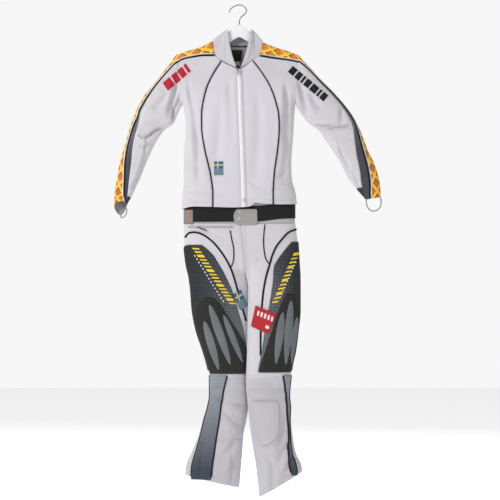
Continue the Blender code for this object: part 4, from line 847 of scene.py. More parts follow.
def over_shoulder(side, x, turn):
    """Points on the body in the plane of x, a turn away from the shoulder line."""
    height = 0.159 if side == "right" else 0.158
    z = read_row(SHOULDER, 1, x) - height * (1.0 - np.cos(turn)) / 2
    return np.stack([x, -np.sign(turn) * body_depth(x, z), z], -1)


def shoulder_seam(side, x, top, gap=0.0002):
    height = 0.159 if side == "right" else 0.158
    drop = read_row(SHOULDER, 1, x) - read_row(top, 1, x) - gap
    return np.arccos(np.clip(1.0 - 2.0 * drop / height, -1.0, 1.0))


SHOULDER_END = {"right": -0.1977, "left": 0.1864}


def strip_grid(side, low, high, columns, shift=0.0, neck_bow=True):
    """Points from the neck over the shoulder to the cuff. low and high are shares of the strip's half."""
    share = mix(low, high, np.asarray(columns, float))[None, :]
    t = np.linspace(0.0, 1.0, 34)[:, None]
    x = mix(NECK_X[side], SHOULDER_END[side], t)
    bow = NECK_SHIFT[side] * (1.0 - share ** 2) * (1.0 - smooth(t / 0.38)) if neck_bow else 0.0
    seam = np.where(share > 0, shoulder_seam(side, x, FRONT_TOP), shoulder_seam(side, x, BACK_TOP))
    over = over_shoulder(side, *np.broadcast_arrays(x - bow, share * seam + shift * np.sign(share)))
    row = np.concatenate([np.linspace(0.25, CUFF_SEAM, 104), np.linspace(CUFF_SEAM, CUFF_SEAM + 1, 17)[1:]])[:, None]
    turn = share * seam_turn(side, 5, -0.0002)(row) + shift * np.sign(share)
    along = cuff_row(side, row, turn)
    arm = arm_points(side, along, turn)
    points = np.concatenate([over, arm])
    level = np.concatenate([np.full(over.shape[:2], -1.0), np.broadcast_to(along, arm.shape[:2])])
    turns = np.concatenate([np.broadcast_to(share * seam, over.shape[:2]), turn])
    return points, level, turns


def strip_outward(side, points, level):
    below = points.copy()
    below[..., 0] = 0.0
    below[..., 2] = points[..., 2] - (read_row(SHOULDER, 1, points[..., 0]) - 0.080)
    return np.where((level < 0)[..., None], below, arm_outward(side, np.maximum(level, 0.0), points))


def fold_strip(side, points, level, turns):
    normals = grid_normals(points, strip_outward(side, points, level))
    front = smooth(0.5 + 1.2 * np.sin(turns))
    moved = crease_field(points, 1, ARM_CREASES[side]) * front
    moved = moved + crease_field(points, -1, ARM_CREASES[side]) * (1 - front)
    moved = moved * smooth(1.6 * np.abs(np.sin(turns))) * smooth(level / 0.8)
    moved = moved + soft_unevenness(points, 0.0004) * smooth((level + 1.0) / 2.0)
    return normals, points + normals * moved[..., None]


def store(mesh, name, values):
    layer = mesh.attributes.new(name, "FLOAT", "POINT")
    layer.data.foreach_set("value", np.asarray(values, np.float32).reshape(-1))


even = np.linspace(-1.0, 1.0, 49)
for side in ("right", "left"):
    base, level, turns = strip_grid(side, -1.0, 1.0, (even + 1.0) / 2)
    normals, points = fold_strip(side, base, level, turns)
    u, v = arc_lengths(points)
    middle = u[:, 24:25]
    edge = np.minimum(u, u[:, -1:] - u)
    points = points + normals * seam_dip(u, v, "lr", 0.0006)[..., None]
    made = shell("overarm_strip_" + side, points, normals, lattice, uv=(u - middle, v), replaces="overarm_" + side,
                 lining=lining)
    store(made.data, "edge_distance", edge)
    declare_cloth(made, points, u, v)
print("overarm strips:", [entry for entry in SHEETS if "overarm" in entry[0]])

# %% [markdown]
# ## The mesh stripes and the cords of the arm
# Beside the printed strip lies a stripe of dark open mesh. It is grey-blue at the elbow, and near the
# cuff it gets darker, with light threads. A black cord covers the seam of the print on both sides.

# %% Forearm mesh and cords
def forearm_finish():
    made = Finish("forearm mesh", 0.70, 0.05)
    u, v, _ = made.place()
    dots = made.weave(0.0072, 0.0080)
    hole = made.step(made.math("ABSOLUTE", dots), 0.30, 0.30)
    base = made.mix(made.step(v, 0.05, 0.20), (0.150, 0.160, 0.200), (0.026, 0.028, 0.038))
    light = made.mix(made.step(v, 0.05, 0.22), (0.330, 0.345, 0.400), (0.150, 0.155, 0.175))
    cloud = made.noise(30.0, 3.0)
    made.colour(made.mix(made.math("MULTIPLY", hole, made.math("MULTIPLY_ADD", cloud, 0.5, 0.35)), base, light))
    made.bump(dots, 0.00035)
    return made.material


forearm_mesh = forearm_finish()
for side in ("right", "left"):
    for face, sign in (("front", 1.0), ("back", -1.0)):
        rows = np.linspace(2.0, CUFF_SEAM + 1, 90)
        low, high = seam_turn(side, 5, 0.0002), seam_turn(side, 6, -0.0002)
        base, along, turn = arm_grid(side, rows, lambda r, f=low, s=sign: s * f(r), lambda r, f=high, s=sign: s * f(r),
                                     np.linspace(0, 1, 22))
        normals, points = fold_arm(side, base, along, turn)
        u, v = arc_lengths(points)
        points = points + normals * seam_dip(u, v, "lr")[..., None]
        made = shell(f"forearm_stripe_{face}_{side}", points, normals, forearm_mesh, uv=(u, v),
                     replaces=f"forearm_mesh_{face}_{side}", lining=lining)
        declare_cloth(made, points, u, v)
    cords = []
    for sign in (1.0, -1.0):
        across = np.linspace(-1.0, 1.0, 9) * PIPING_HALF * 1.6
        rows = np.concatenate([np.linspace(0.3, CUFF_SEAM, 130), np.linspace(CUFF_SEAM, CUFF_SEAM + 0.94, 20)[1:]])
        turn = np.stack([sign * seam_turn(side, 5, distance)(rows) for distance in across], 1)
        along = cuff_row(side, rows[:, None], turn)
        arm = arm_points(side, along, turn)
        t = np.linspace(0.012, 1.0, 34)
        x = mix(NECK_X[side], SHOULDER_END[side], t)
        seam = shoulder_seam(side, x, FRONT_TOP if sign > 0 else BACK_TOP)
        turn_over = sign * (seam[:, None] + across[None, :] / 0.055)
        over = over_shoulder(side, *np.broadcast_arrays(x[:, None], turn_over))
        base = np.concatenate([over, arm])
        level = np.concatenate([np.full(over.shape[:2], -1.0), along])
        normals, points = fold_strip(side, base, level, np.concatenate([turn_over, turn]))
        cords.append(lifted(f"overarm_cord_{side}_{'front' if sign > 0 else 'back'}", points, normals, piping_black,
                            piping_profile(points, 0.0019), replaces="overarm_piping_" + side if sign > 0 else None))
print("mesh stripes: 4, cords of the arms: 4")

# %% [markdown]
# ## Hand loops
# A thin elastic cord at each cuff goes under the thumb, so that the sleeve doesn't ride up. A swept
# circle is enough for it. Its ribs are the covering threads of the elastic.

# %% Hand loops
HAND_LOOP = {
    "right": ((-0.3615, -0.0024, -0.6479), (-0.3600, -0.0028, -0.6570), (-0.3625, 0.0000, -0.6680),
              (-0.3700, 0.0045, -0.6765), (-0.3780, 0.0085, -0.6790), (-0.3801, 0.0099, -0.6724)),
    "left": ((0.4060, -0.001, -0.6219), (0.4080, -0.002, -0.6400), (0.4160, -0.003, -0.6530),
             (0.4310, -0.003, -0.6580), (0.4450, -0.002, -0.6520), (0.4530, -0.001, -0.6380),
             (0.4522, 0.000, -0.6141)),
}


def smooth_route(points, count):
    """A line through some points, evenly spaced."""
    points = np.asarray(points, float)
    step = np.concatenate([[0.0], np.cumsum(np.linalg.norm(np.diff(points, axis=0), axis=1))])
    at = np.linspace(0.0, step[-1], count)
    slope = np.gradient(points, step, axis=0)
    low = np.clip(np.searchsorted(step, at) - 1, 0, len(step) - 2)
    h = (step[low + 1] - step[low])[:, None]
    t = ((at - step[low])[:, None]) / h
    return (points[low] * (1 + 2 * t) * (1 - t) ** 2 + slope[low] * h * t * (1 - t) ** 2
            + points[low + 1] * t * t * (3 - 2 * t) + slope[low + 1] * h * t * t * (t - 1))


def tube(name, route, radius, finish, sides=16, flat=1.0, body="suit"):
    """A round bar along a route, with closed round ends. flat below 1 makes it a flat band."""
    tangents = unit(np.gradient(route, axis=0))
    side = unit(np.cross(tangents, np.array((0.0, 1.0, 0.0))))
    over = np.cross(side, tangents)
    turn = np.linspace(0.0, 2 * math.pi, sides, endpoint=False)
    radii = np.asarray(radius, float) * np.ones(len(route))
    ring = side[:, None] * np.cos(turn)[None, :, None] + over[:, None] * np.sin(turn)[None, :, None] * flat
    points = route[:, None] + ring * radii[:, None, None]
    caps = [np.repeat((route[i] + sign * tangents[i] * radii[i] * 0.5)[None, None], sides, 1) + ring[i][None] * radii[i] * 0.6
            for i, sign in ((0, -1.0), (-1, 1.0))]
    points = np.concatenate([caps[0], points, caps[1]])
    u, v = arc_lengths(points)
    mesh = grid_mesh(name, points, u, v, closed=True)
    work = bmesh.new()
    work.from_mesh(mesh)
    bmesh.ops.holes_fill(work, edges=work.edges, sides=0)
    bmesh.ops.recalc_face_normals(work, faces=work.faces)
    work.to_mesh(mesh)
    work.free()
    return add_piece(name, mesh, finish, body)


for side in ("right", "left"):
    loop = tube("hand_loop_cord_" + side, smooth_route(HAND_LOOP[side], 60), 0.0021, loop_grey)
    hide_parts("hand_loop_" + side)
print("hand loops:", len(HAND_LOOP))

# %% [markdown]
# ## The trousers
# Each leg is an oval that grows narrower to the knee and flares over the boot. The cloth of the lower
# legs is a little smoother and greyer. A cross seam at the knee joins the upper and lower part.

# %% The legs' form
def leg_frame(side, z):
    columns = (1, 2) if side == "right" else (4, 3)
    outer, inner = (read_row(LEGS, column, z) for column in columns)
    deep, apart, wrap, square = (read_row(LEGS, column, z) for column in (5, 6, 7, 8))
    wrap = np.radians(wrap)
    reach = (outer - inner) / (1.0 - np.cos(wrap))
    shift = apart if side == "right" else -apart
    return outer - reach, reach, deep, shift, wrap, square


def leg_points(side, z, turn, face):
    centre, reach, deep, shift, _, square = leg_frame(side, z)
    z, turn = np.broadcast_arrays(z, turn)
    depth = deep * bulge(np.cos(turn), square)
    return np.stack([centre + reach * np.cos(turn), shift - face * depth, z], -1)


def leg_turn(side, x, z):
    centre, reach, *_ = leg_frame(side, z)
    return np.arccos(np.clip((x - centre) / reach, -1.0, 1.0))


def leg_outward(side, points):
    centre, reach, _, shift, _, _ = leg_frame(side, points[..., 2])
    out = points.copy()
    out[..., 0] = points[..., 0] - centre
    out[..., 1] = points[..., 1] - shift
    out[..., 2] = 0.0
    return out


def fold_leg(side, points):
    """Normals and folded places of points on a leg."""
    normals = grid_normals(points, leg_outward(side, points))
    centre, reach, _, shift, _, _ = leg_frame(side, points[..., 2])
    front = points[..., 1] <= shift
    share = smooth(3.5 * (1.0 - np.abs(points[..., 0] - centre) / np.abs(reach)))
    moved = np.where(front, crease_field(points, 1, LEG_CREASES[side]), crease_field(points, -1, LEG_CREASES[side]))
    moved = moved + soft_unevenness(points, 0.0006)
    thigh = smooth((points[..., 2] + 1.180) / 0.03) * smooth((-0.760 - points[..., 2]) / 0.04)
    moved = moved * share * np.where(front, 1.0 - 0.6 * thigh, 1.0)
    return normals, points + normals * moved[..., None]


def groove(points, route, depth=0.0010, width=0.0024):
    """The dip of a seam that runs along a route of x and z."""
    place = points[..., [0, 2]]
    nearest = np.full(place.shape[:-1], 1.0)
    for a, b in zip(route[:-1], route[1:]):
        a, b = np.array(a), np.array(b)
        along = np.clip(((place - a) @ (b - a)) / ((b - a) @ (b - a)), 0.0, 1.0)
        nearest = np.minimum(nearest, np.linalg.norm(place - a - along[..., None] * (b - a), axis=-1))
    return -depth * np.exp(-(nearest / width) ** 2)


LEG_SEAMS = {
    "right": (((-0.100, -1.1905), (-0.040, -1.1935), (0.026, -1.1800)),
              ((-0.048, -1.2320), (-0.022, -1.2480), (0.028, -1.2240)),
              ((-0.078, -1.3930), (-0.030, -1.3900), (0.012, -1.3860)),
              ((-0.004, -0.7070), (0.026, -0.8330)), ((0.006, -0.7070), (0.016, -0.8300))),
    "left": (((0.020, -1.1830), (0.070, -1.1860), (0.150, -1.1880)),
             ((0.028, -1.2230), (0.078, -1.2240), (0.128, -1.2270)),
             ((0.030, -1.2460), (0.072, -1.2660), (0.128, -1.2310)),
             ((0.040, -1.4060), (0.080, -1.4090), (0.150, -1.4000)),
             ((0.018, -0.7070), (0.024, -0.8300))),
}


def leg_tone(name):
    """Knit of the trousers: warm white above the knee and greyer below it."""
    made = Finish(name, 0.74, 0.10)
    x, y, z = made.place("Object")
    below = made.math("SUBTRACT", 1.0, made.step(z, -1.192, 0.004))
    cloud = made.noise(8.0, 4.0)
    upper = made.mix(cloud, tuple(c * 0.95 for c in PALE), tuple(c * 1.04 for c in PALE))
    lower = made.mix(cloud, tuple(c * 0.93 for c in LEG_PALE), tuple(c * 1.06 for c in LEG_PALE))
    thread = made.weave(0.0013, 0.0013)
    shade = made.mix(below, upper, lower)
    # The weave darkens the knit a little along its threads, which is a painted shade of the weave.
    made.colour(made.mix(made.math("MULTIPLY_ADD", thread, 0.03, 0.03), shade, (0.26, 0.25, 0.27)))
    made.bump(thread, 0.00022)
    return made.material


trouser_knit = leg_tone("trouser knit")
leg_rows = np.linspace(0.0, 1.0, 144)[:, None]
for side in ("right", "left"):
    outer_end, inner_end = LEG_HEM[side]
    for face, sign in (("front", 1), ("back", -1)):
        column = (1.0 - np.cos(np.linspace(0.0, math.pi, 60))) / 2 * 0.55 + np.linspace(0.0, 1.0, 60) * 0.45
        turn = column[None, :] * math.pi
        for _ in range(3):
            hem = mix(outer_end, inner_end, (1.0 - np.cos(turn)) / 2)
            z = mix(LEGS[0][0], hem, leg_rows)
            wrap = leg_frame(side, z)[4]
            turn = 0.0005 + column[None, :] * (wrap - 0.001)
        base = leg_points(side, z, turn, sign)
        normals, points = fold_leg(side, base)
        u, v = arc_lengths(points)
        dip = seam_dip(u, v, "lrb", 0.0009)
        if face == "front":
            for route in LEG_SEAMS[side]:
                dip = np.minimum(dip, groove(points, route))
        else:
            dip = np.minimum(dip, groove(points, ((-0.2, -1.196), (0.3, -1.196))))
            dip = np.minimum(dip, groove(points, ((-0.2, -1.400), (0.3, -1.400))))
        points = points + normals * dip[..., None]
        made = shell(f"trouser_{face}_panel_{side}", points, normals, trouser_knit, uv=(u, v),
                     replaces=f"trouser_{face}_{side}", lining=lining)
        declare_cloth(made, points, u, v)
print("trouser panels:", [entry for entry in SHEETS if "trouser" in entry[0]])

# %% [markdown]
# ## Thigh panels, knee guards and shin pads
# The thigh panels are black mesh printed with dots that grow towards the inner edge. A moulded rubber
# guard is sewn on over the knee, with three raised ribs in a lighter grey. The shin pads are soft foam
# under the leg's own cloth. All of them lie on the leg, so they are grids on its form, lifted.

# %% Tables of the leg pieces
# height and x of the inner edge
THIGH = {
    "right": ((-0.766, -0.119), (-0.776, -0.106), (-0.787, -0.094), (-0.800, -0.082), (-0.817, -0.071),
              (-0.835, -0.060), (-0.852, -0.0505), (-0.869, -0.042), (-0.910, -0.024), (-0.974, -0.005),
              (-1.038, 0.0130), (-1.102, 0.0215), (-1.154, 0.0215), (-1.168, 0.0210)),
    "left": ((-0.756, 0.167), (-0.766, 0.158), (-0.783, 0.144), (-0.800, 0.131), (-0.817, 0.1195),
             (-0.835, 0.1105), (-0.852, 0.1085), (-0.869, 0.108), (-0.910, 0.103), (-0.974, 0.0925),
             (-1.038, 0.0815), (-1.102, 0.0720), (-1.154, 0.0620), (-1.168, 0.0600)),
}
# height, x of the outer edge, x of the inner edge
GUARD = {
    "right": ((-0.934, -0.106, -0.084), (-0.946, -0.122, -0.068), (-0.960, -0.129, -0.058), (-0.974, -0.133, -0.049),
              (-0.995, -0.135, -0.036), (-1.016, -0.134, -0.022), (-1.038, -0.130, -0.008), (-1.060, -0.1260, 0.0050),
              (-1.081, -0.1190, 0.0155), (-1.102, -0.1130, 0.0220), (-1.128, -0.1050, 0.0225),
              (-1.154, -0.0975, 0.0220), (-1.178, -0.0920, 0.0225)),
    "left": ((-0.921, 0.166, 0.152), (-0.930, 0.176, 0.146), (-0.942, 0.182, 0.139), (-0.958, 0.188, 0.131),
             (-0.974, 0.190, 0.125), (-0.995, 0.189, 0.118), (-1.016, 0.187, 0.111), (-1.038, 0.184, 0.104),
             (-1.070, 0.179, 0.093), (-1.102, 0.174, 0.083), (-1.128, 0.169, 0.074), (-1.154, 0.165, 0.066),
             (-1.172, 0.163, 0.061)),
}
# Ribs of the guard: x and height of the top, of the bottom, half width
RIBS = {
    "right": ((-0.110, -1.008, -0.064, -1.166, 0.0125), (-0.094, -0.955, -0.028, -1.150, 0.0135),
              (-0.050, -0.988, 0.009, -1.142, 0.0105)),
    "left": ((0.138, -0.979, 0.116, -1.146, 0.0120), (0.164, -0.942, 0.146, -1.148, 0.0120),
             (0.181, -0.994, 0.163, -1.144, 0.0080)),
}
SHIN = {
    "right": ((-1.276, -0.010, 0.016), (-1.300, -0.019, 0.016), (-1.326, -0.026, 0.012), (-1.352, -0.028, 0.008),
              (-1.372, -0.022, 0.006), (-1.388, -0.004, 0.004)),
    "left": ((-1.262, 0.124, 0.042), (-1.288, 0.127, 0.040), (-1.326, 0.127, 0.044), (-1.352, 0.1265, 0.0480),
             (-1.378, 0.119, 0.0530), (-1.397, 0.098, 0.0620), (-1.405, 0.083, 0.0710)),
}
# height and x of the front edge
STRIPE = {
    "right": ((-1.182, -0.038), (-1.221, -0.048), (-1.246, -0.053), (-1.288, -0.0590), (-1.326, -0.0640),
              (-1.378, -0.0730), (-1.429, -0.0800), (-1.474, -0.0865), (-1.515, -0.0900)),
    "left": ((-1.180, 0.139), (-1.221, 0.146), (-1.246, 0.149), (-1.288, 0.1515), (-1.326, 0.1540),
             (-1.378, 0.1580), (-1.429, 0.1560), (-1.474, 0.1620), (-1.500, 0.1660)),
}
LEG_LIFT = 0.0009
THIGH_TOP = 0.0024
GUARD_TOP = 0.0045
RIB_HEIGHT = 0.0028


def leg_at(side, z, turn):
    """Points on a leg. A turn below 0 lies behind the side seam."""
    z, turn = np.broadcast_arrays(z, turn)
    return leg_points(side, z, turn, np.where(turn < 0, -1.0, 1.0))


def leg_band(side, table, low, high, rows, columns):
    """Points between two edges on a leg, each a function of the height that gives a turn."""
    heights = sorted(row[0] for row in table)
    z = np.linspace(heights[-1], heights[0], rows)[:, None]
    return leg_at(side, z, mix(low(z), high(z), np.linspace(0.0, 1.0, columns)[None, :]))


def edge_turn(side, table, column):
    return lambda z: leg_turn(side, read_row(table, column, z), z)


print("ribs on the guards:", sum(len(v) for v in RIBS.values()))

# %% Thigh mesh, guards and shin pads
def thigh_finish():
    made = Finish("thigh mesh", 0.72, 0.06)
    u, v, _ = made.place()
    dots = made.math("MULTIPLY", made.wave(u, 0.0092), made.wave(v, 0.0092))
    inner = made.tree.nodes.new("ShaderNodeAttribute")
    inner.attribute_name = "inner_share"
    far = made.math("MULTIPLY", inner.outputs["Fac"], made.math("MULTIPLY_ADD", v, 3.2, 0.42))
    grow = made.math("MULTIPLY_ADD", far, -0.42, 0.70)
    dot = made.step(made.math("ABSOLUTE", dots), grow, 0.16)
    cloud = made.noise(7.0, 3.0)
    light = made.mix(made.step(far, 0.10, 0.75), (0.050, 0.058, 0.068), (0.200, 0.218, 0.250))
    dark = made.mix(cloud, (0.008, 0.009, 0.009), (0.016, 0.018, 0.021))
    made.colour(made.mix(made.math("MULTIPLY", dot, made.math("MULTIPLY_ADD", cloud, 0.7, 0.45)), dark, light))
    made.bump(made.math("ABSOLUTE", dots), 0.00030)
    return made.material


def guard_finish():
    """Matt rubber. Its ribs are printed in a lighter grey."""
    made = Finish("guard rubber", 0.55, 0.0, specular=0.22)
    rib = made.tree.nodes.new("ShaderNodeAttribute")
    rib.attribute_name = "rib_share"
    on_rib = made.step(rib.outputs["Fac"], 0.30, 0.20)
    grain = made.noise(900.0, 2.0)
    cloud = made.noise(14.0, 3.0)
    base = made.mix(cloud, (0.012, 0.013, 0.010), (0.019, 0.020, 0.016))
    light = made.mix(cloud, (0.100, 0.113, 0.124), (0.145, 0.160, 0.172))
    made.colour(made.mix(on_rib, base, light))
    made.bump(grain, 0.00012)
    return made.material


thigh_mesh_finish, guard_rubber = thigh_finish(), guard_finish()
pad_knit = cloth_finish("pad knit", (0.500, 0.482, 0.515), 0.0013, "plain", 0.00020, 0.05, 0.55, 0.10)
for side in ("right", "left"):
    behind = math.radians(-14.0)
    heights = [row[0] for row in THIGH[side]]
    z = np.linspace(heights[0], heights[-1], 120)[:, None]
    across = np.linspace(0.0, 1.0, 64)[None, :]
    far = leg_turn(side, read_row(THIGH[side], 1, z), z)
    droop = 0.022 * (1.0 - np.minimum(1.0, across / 0.72)) ** 2 if side == "right" else 0.0
    droop = droop * (1.0 - smooth((heights[0] - z) / 0.12))
    base = leg_at(side, z - droop, mix(behind, far, across))
    normals, points = fold_leg(side, base)
    u, v = arc_lengths(points)
    raised = points + normals * patch_profile(points, THIGH_TOP, 0.0008)[..., None]
    made = shell("thigh_mesh_panel_" + side, raised, normals, thigh_mesh_finish, 0.0010, uv=(u, v),
                 replaces="thigh_mesh_" + side)
    store(made.data, "inner_share", u / u[:, -1:])
    declare_cloth(made, points, u, v)

    table = GUARD[side]
    base = leg_band(side, table, edge_turn(side, table, 1), edge_turn(side, table, 2), 120, 80)
    normals, points = fold_leg(side, base)
    rise = np.zeros(points.shape[:2])
    for x0, z0, x1, z1, half in RIBS[side]:
        along = np.clip((z0 - base[..., 2]) / (z0 - z1), 0.0, 1.0)
        taper = np.maximum(0.02, np.sin(math.pi * along ** 0.85)) ** 0.62
        across = (base[..., 0] - mix(x0, x1, along)) / (half * 1.08 * np.maximum(0.16, taper))
        ends = smooth(along / 0.03) * smooth((1.0 - along) / 0.03)
        rise = np.maximum(rise, bulge(np.minimum(1.0, np.abs(across)), 3.0) * ends)
    over, down = np.linspace(0.0, 1.0, 80)[None, :], np.linspace(0.0, 1.0, 120)[:, None]
    rim = smooth(over * 26) * smooth((1.0 - over) * 26) * smooth(down * 40) * smooth((1.0 - down) * 40)
    profile = GUARD_TOP - 0.0011 * (1.0 - rim) + RIB_HEIGHT * rise * rim
    made = shell("knee_guard_shell_" + side, points + normals * profile[..., None], normals, guard_rubber, 0.0013,
                 replaces="knee_guard_" + side)
    store(made.data, "rib_share", rise * rim)

    table = SHIN[side]
    base = leg_band(side, table, edge_turn(side, table, 1), edge_turn(side, table, 2), 60, 50)
    normals, points = fold_leg(side, base)
    across = np.linspace(-1.0, 1.0, 50)[None, :]
    down = np.linspace(-1.0, 1.0, 60)[:, None]
    dome = bulge(across, 6.0) * bulge(down, 4.0)
    quilt = 0.0006 * np.exp(-((np.abs(across) - 0.80) / 0.05) ** 2) * (np.abs(down) < 0.9)
    profile = 0.0014 + 0.0038 * dome - quilt
    made = shell("shin_pad_cover_" + side, points + normals * profile[..., None], normals, pad_knit, 0.0011,
                 replaces="shin_pad_" + side)
print("thigh panels, guards and shin pads: 6")

# %% [markdown]
# ## The side stripes
# A stripe of grey mesh runs down the outside of each lower leg, lighter at the knee and darker at the
# foot, between two black cords. Small dots in rows are its open mesh.

# %% Side stripes
def stripe_finish():
    made = Finish("side stripe mesh", 0.70, 0.06)
    u, v, _ = made.place()
    dots = made.math("ABSOLUTE", made.math("MULTIPLY", made.wave(u, 0.0092), made.wave(v, 0.0092)))
    down = made.step(v, 0.05, 0.26)
    light = made.mix(down, (0.330, 0.345, 0.385), (0.075, 0.095, 0.125))
    dark = made.mix(down, (0.190, 0.205, 0.240), (0.018, 0.024, 0.034))
    cloud = made.noise(22.0, 3.0)
    shade = made.mix(made.step(dots, 0.30, 0.20), dark, light)
    made.colour(made.mix(made.math("MULTIPLY", cloud, 0.25), shade, (0.03, 0.035, 0.045)))
    made.bump(dots, 0.00030)
    return made.material


stripe_mesh = stripe_finish()


def stripe_rear(side):
    heights = [row[0] for row in STRIPE[side]]
    return lambda z: np.radians(mix(4.0, 40.4, smooth((heights[0] - z) / (heights[0] - heights[-1]))))


def cord_on_leg(name, side, route, height=0.0025, half=PIPING_HALF, replaces=None, finish=None):
    """A half round cord along a route of x and height on the front of a leg."""
    line = smooth_route([(x, 0.0, z) for x, z in route], 24 * len(route))
    run = unit(np.gradient(line, axis=0))
    across = np.linspace(-1.0, 1.0, 9) * half
    x = line[:, None, 0] + run[:, None, 2] * across
    z = line[:, None, 2] - run[:, None, 0] * across
    base = leg_at(side, z, np.maximum(leg_turn(side, x, z), 0.02))
    normals, points = fold_leg(side, base)
    return lifted(name, points, normals, finish or piping_black, piping_profile(points, height), replaces=replaces)


for side in ("right", "left"):
    base = leg_band(side, STRIPE[side], stripe_rear(side), edge_turn(side, STRIPE[side], 1), 104, 26)
    normals, points = fold_leg(side, base)
    u, v = arc_lengths(points)
    raised = points + normals * patch_profile(points, LEG_LIFT + 0.0010, 0.0006)[..., None]
    made = shell("shin_stripe_panel_" + side, raised, normals, stripe_mesh, 0.0008, uv=(u, v),
                 replaces="shin_stripe_" + side)
    declare_cloth(made, points, u, v)
    for name, column, half in (("front", -1, 0.0030), ("rear", 0, 0.0022)):
        route = [(point[0], point[2]) for point in base[1:-2:11, column]]
        cord_on_leg(f"stripe_cord_{name}_{side}", side, route, 0.0030, half)
print("side stripes: 2, with 4 cords")

# %% [markdown]
# ## The cords of the trousers
# A black cord sweeps from the hip round the top of each thigh panel down to the knee, and a shorter
# one on each side of the fly curves to meet it.

# %% Thigh and fly cords
THIGH_CORDS = {
    "right": ((-0.173, -0.742), (-0.162, -0.729), (-0.141, -0.726), (-0.119, -0.732), (-0.097, -0.746),
              (-0.079, -0.762), (-0.061, -0.784), (-0.042, -0.812), (-0.028, -0.839), (-0.015, -0.876),
              (-0.006, -0.909), (0.006, -0.950), (0.015, -0.986), (0.0215, -1.010)),
    "left": ((0.183, -0.716), (0.156, -0.727), (0.138, -0.746), (0.119, -0.770), (0.107, -0.795),
             (0.097, -0.828), (0.086, -0.865), (0.078, -0.906), (0.073, -0.950), (0.070, -1.001),
             (0.068, -1.056), (0.068, -1.118)),
}
FLY_CORDS = {
    "right": ((-0.029, -0.720), (-0.024, -0.748), (-0.018, -0.777), (-0.018, -0.810), (-0.022, -0.828), (-0.028, -0.839)),
    "left": ((0.082, -0.7010), (0.078, -0.737), (0.078, -0.770), (0.081, -0.795), (0.086, -0.814), (0.096, -0.827)),
}
for side in ("right", "left"):
    cord_on_leg("thigh_cord_" + side, side, THIGH_CORDS[side], 0.0026, 0.0033, replaces="thigh_piping_" + side)
    cord_on_leg("fly_cord_" + side, side, FLY_CORDS[side], 0.0020, 0.0022)
print("cords of the trousers: 4")

# %% [markdown]
# ## Collar and neck labels
# The stand-up collar is one band of knit, higher at the back, and it stands open at the front. It
# bows out a little and has soft upright folds. Inside hang a plain black label and a white tag.

# %% Collar
# base x and height, top x, y and height of each station from the zip to the back
COLLAR = {
    "right": ((-0.0090, -0.2006, -0.0370, -0.0100, -0.0770), (-0.0330, -0.1890, -0.0405, -0.0100, -0.0770),
              (-0.0560, -0.1770, -0.0430, -0.0080, -0.0785), (-0.0770, -0.1580, -0.0445, -0.0055, -0.0795),
              (-0.0835, -0.1220, -0.0455, -0.0025, -0.0805), (-0.0855, -0.1125, -0.0460, 0.0010, -0.0810),
              (-0.0835, -0.1220, -0.0455, 0.0040, -0.0820), (-0.0765, -0.1450, -0.0420, 0.0080, -0.0835),
              (-0.0480, -0.1265, -0.0280, 0.0125, -0.0860)),
    "left": ((0.0035, -0.2015, 0.0370, -0.0100, -0.0780), (0.0240, -0.1890, 0.0400, -0.0100, -0.0780),
             (0.0430, -0.1745, 0.0425, -0.0080, -0.0790), (0.0640, -0.1600, 0.0435, -0.0055, -0.0800),
             (0.0735, -0.1250, 0.0445, -0.0025, -0.0810), (0.0755, -0.1155, 0.0450, 0.0010, -0.0815),
             (0.0735, -0.1250, 0.0445, 0.0040, -0.0825), (0.0640, -0.1465, 0.0410, 0.0080, -0.0840),
             (0.0430, -0.1275, 0.0270, 0.0125, -0.0865)),
}
COLLAR_BACK = (0.000, -0.1300, 0.000, 0.0150, -0.0880)
COLLAR_RIDGE = 5


def collar_grid(rows, columns):
    stations = COLLAR["right"] + (COLLAR_BACK,) + COLLAR["left"][::-1]
    ends = []
    for i, (base_x, base_z, top_x, top_y, top_z) in enumerate(stations):
        nearest = min(i, len(stations) - 1 - i)
        face = 0.0 if nearest == COLLAR_RIDGE else 1.0 if nearest < COLLAR_RIDGE else -1.0
        ends.append((base_x, -face * float(body_depth(base_x, base_z)), base_z, top_x, top_y, top_z))
    ends = np.array(ends)
    index = np.arange(len(ends), dtype=float)
    table = [(i, *row) for i, row in zip(index, ends)]
    at = np.linspace(0.0, len(ends) - 1.0, columns)
    base = np.stack([read_row(table, column, at) for column in (1, 2, 3)], -1)
    top = np.stack([read_row(table, column, at) for column in (4, 5, 6)], -1)
    height = np.linspace(0.0, 1.0, rows)[:, None, None]
    bow = top.copy()
    bow[:, 2] = 0.0
    wave = 1.0 + 0.5 * np.sin(at * 2.3)[None, :, None] * np.sin(math.pi * height)
    return mix(base[None], top[None], height) + unit(bow)[None] * 0.0050 * np.sin(math.pi * height) * wave, at


points, at = collar_grid(40, 168)
away = points - np.array((0.0, 0.004, 0.0))
away[..., 2] = 0.0
normals = grid_normals(points, away)
upright = 0.0
for centre, wide, depth in ((1.3, 0.16, 0.0026), (2.6, 0.20, 0.0016), (15.6, 0.20, 0.0016), (16.9, 0.16, 0.0026),
                            (8.0, 0.4, 0.0012), (10.4, 0.4, 0.0012)):
    upright = upright - depth * np.exp(-((at - centre) / wide) ** 2)
lines = np.zeros(points.shape[:2]) + np.asarray(upright)[None, :] * np.sin(np.linspace(0.0, math.pi, 40))[:, None] ** 0.5
u, v = arc_lengths(points)
lines = lines + seam_dip(u, v, "t", 0.0007) + 0.0006 * np.exp(-((v[-1:] - v) / 0.004) ** 2)
points = points + normals * lines[..., None]
collar = shell("collar_band", points, normals, collar_knit, uv=(u, v), replaces="collar", lining=lining)
declare_cloth(collar, points, u, v)
label_black = cloth_finish("woven label", (0.016, 0.016, 0.018), 0.0007, "twill", 0.00008, 0.20, 0.55)


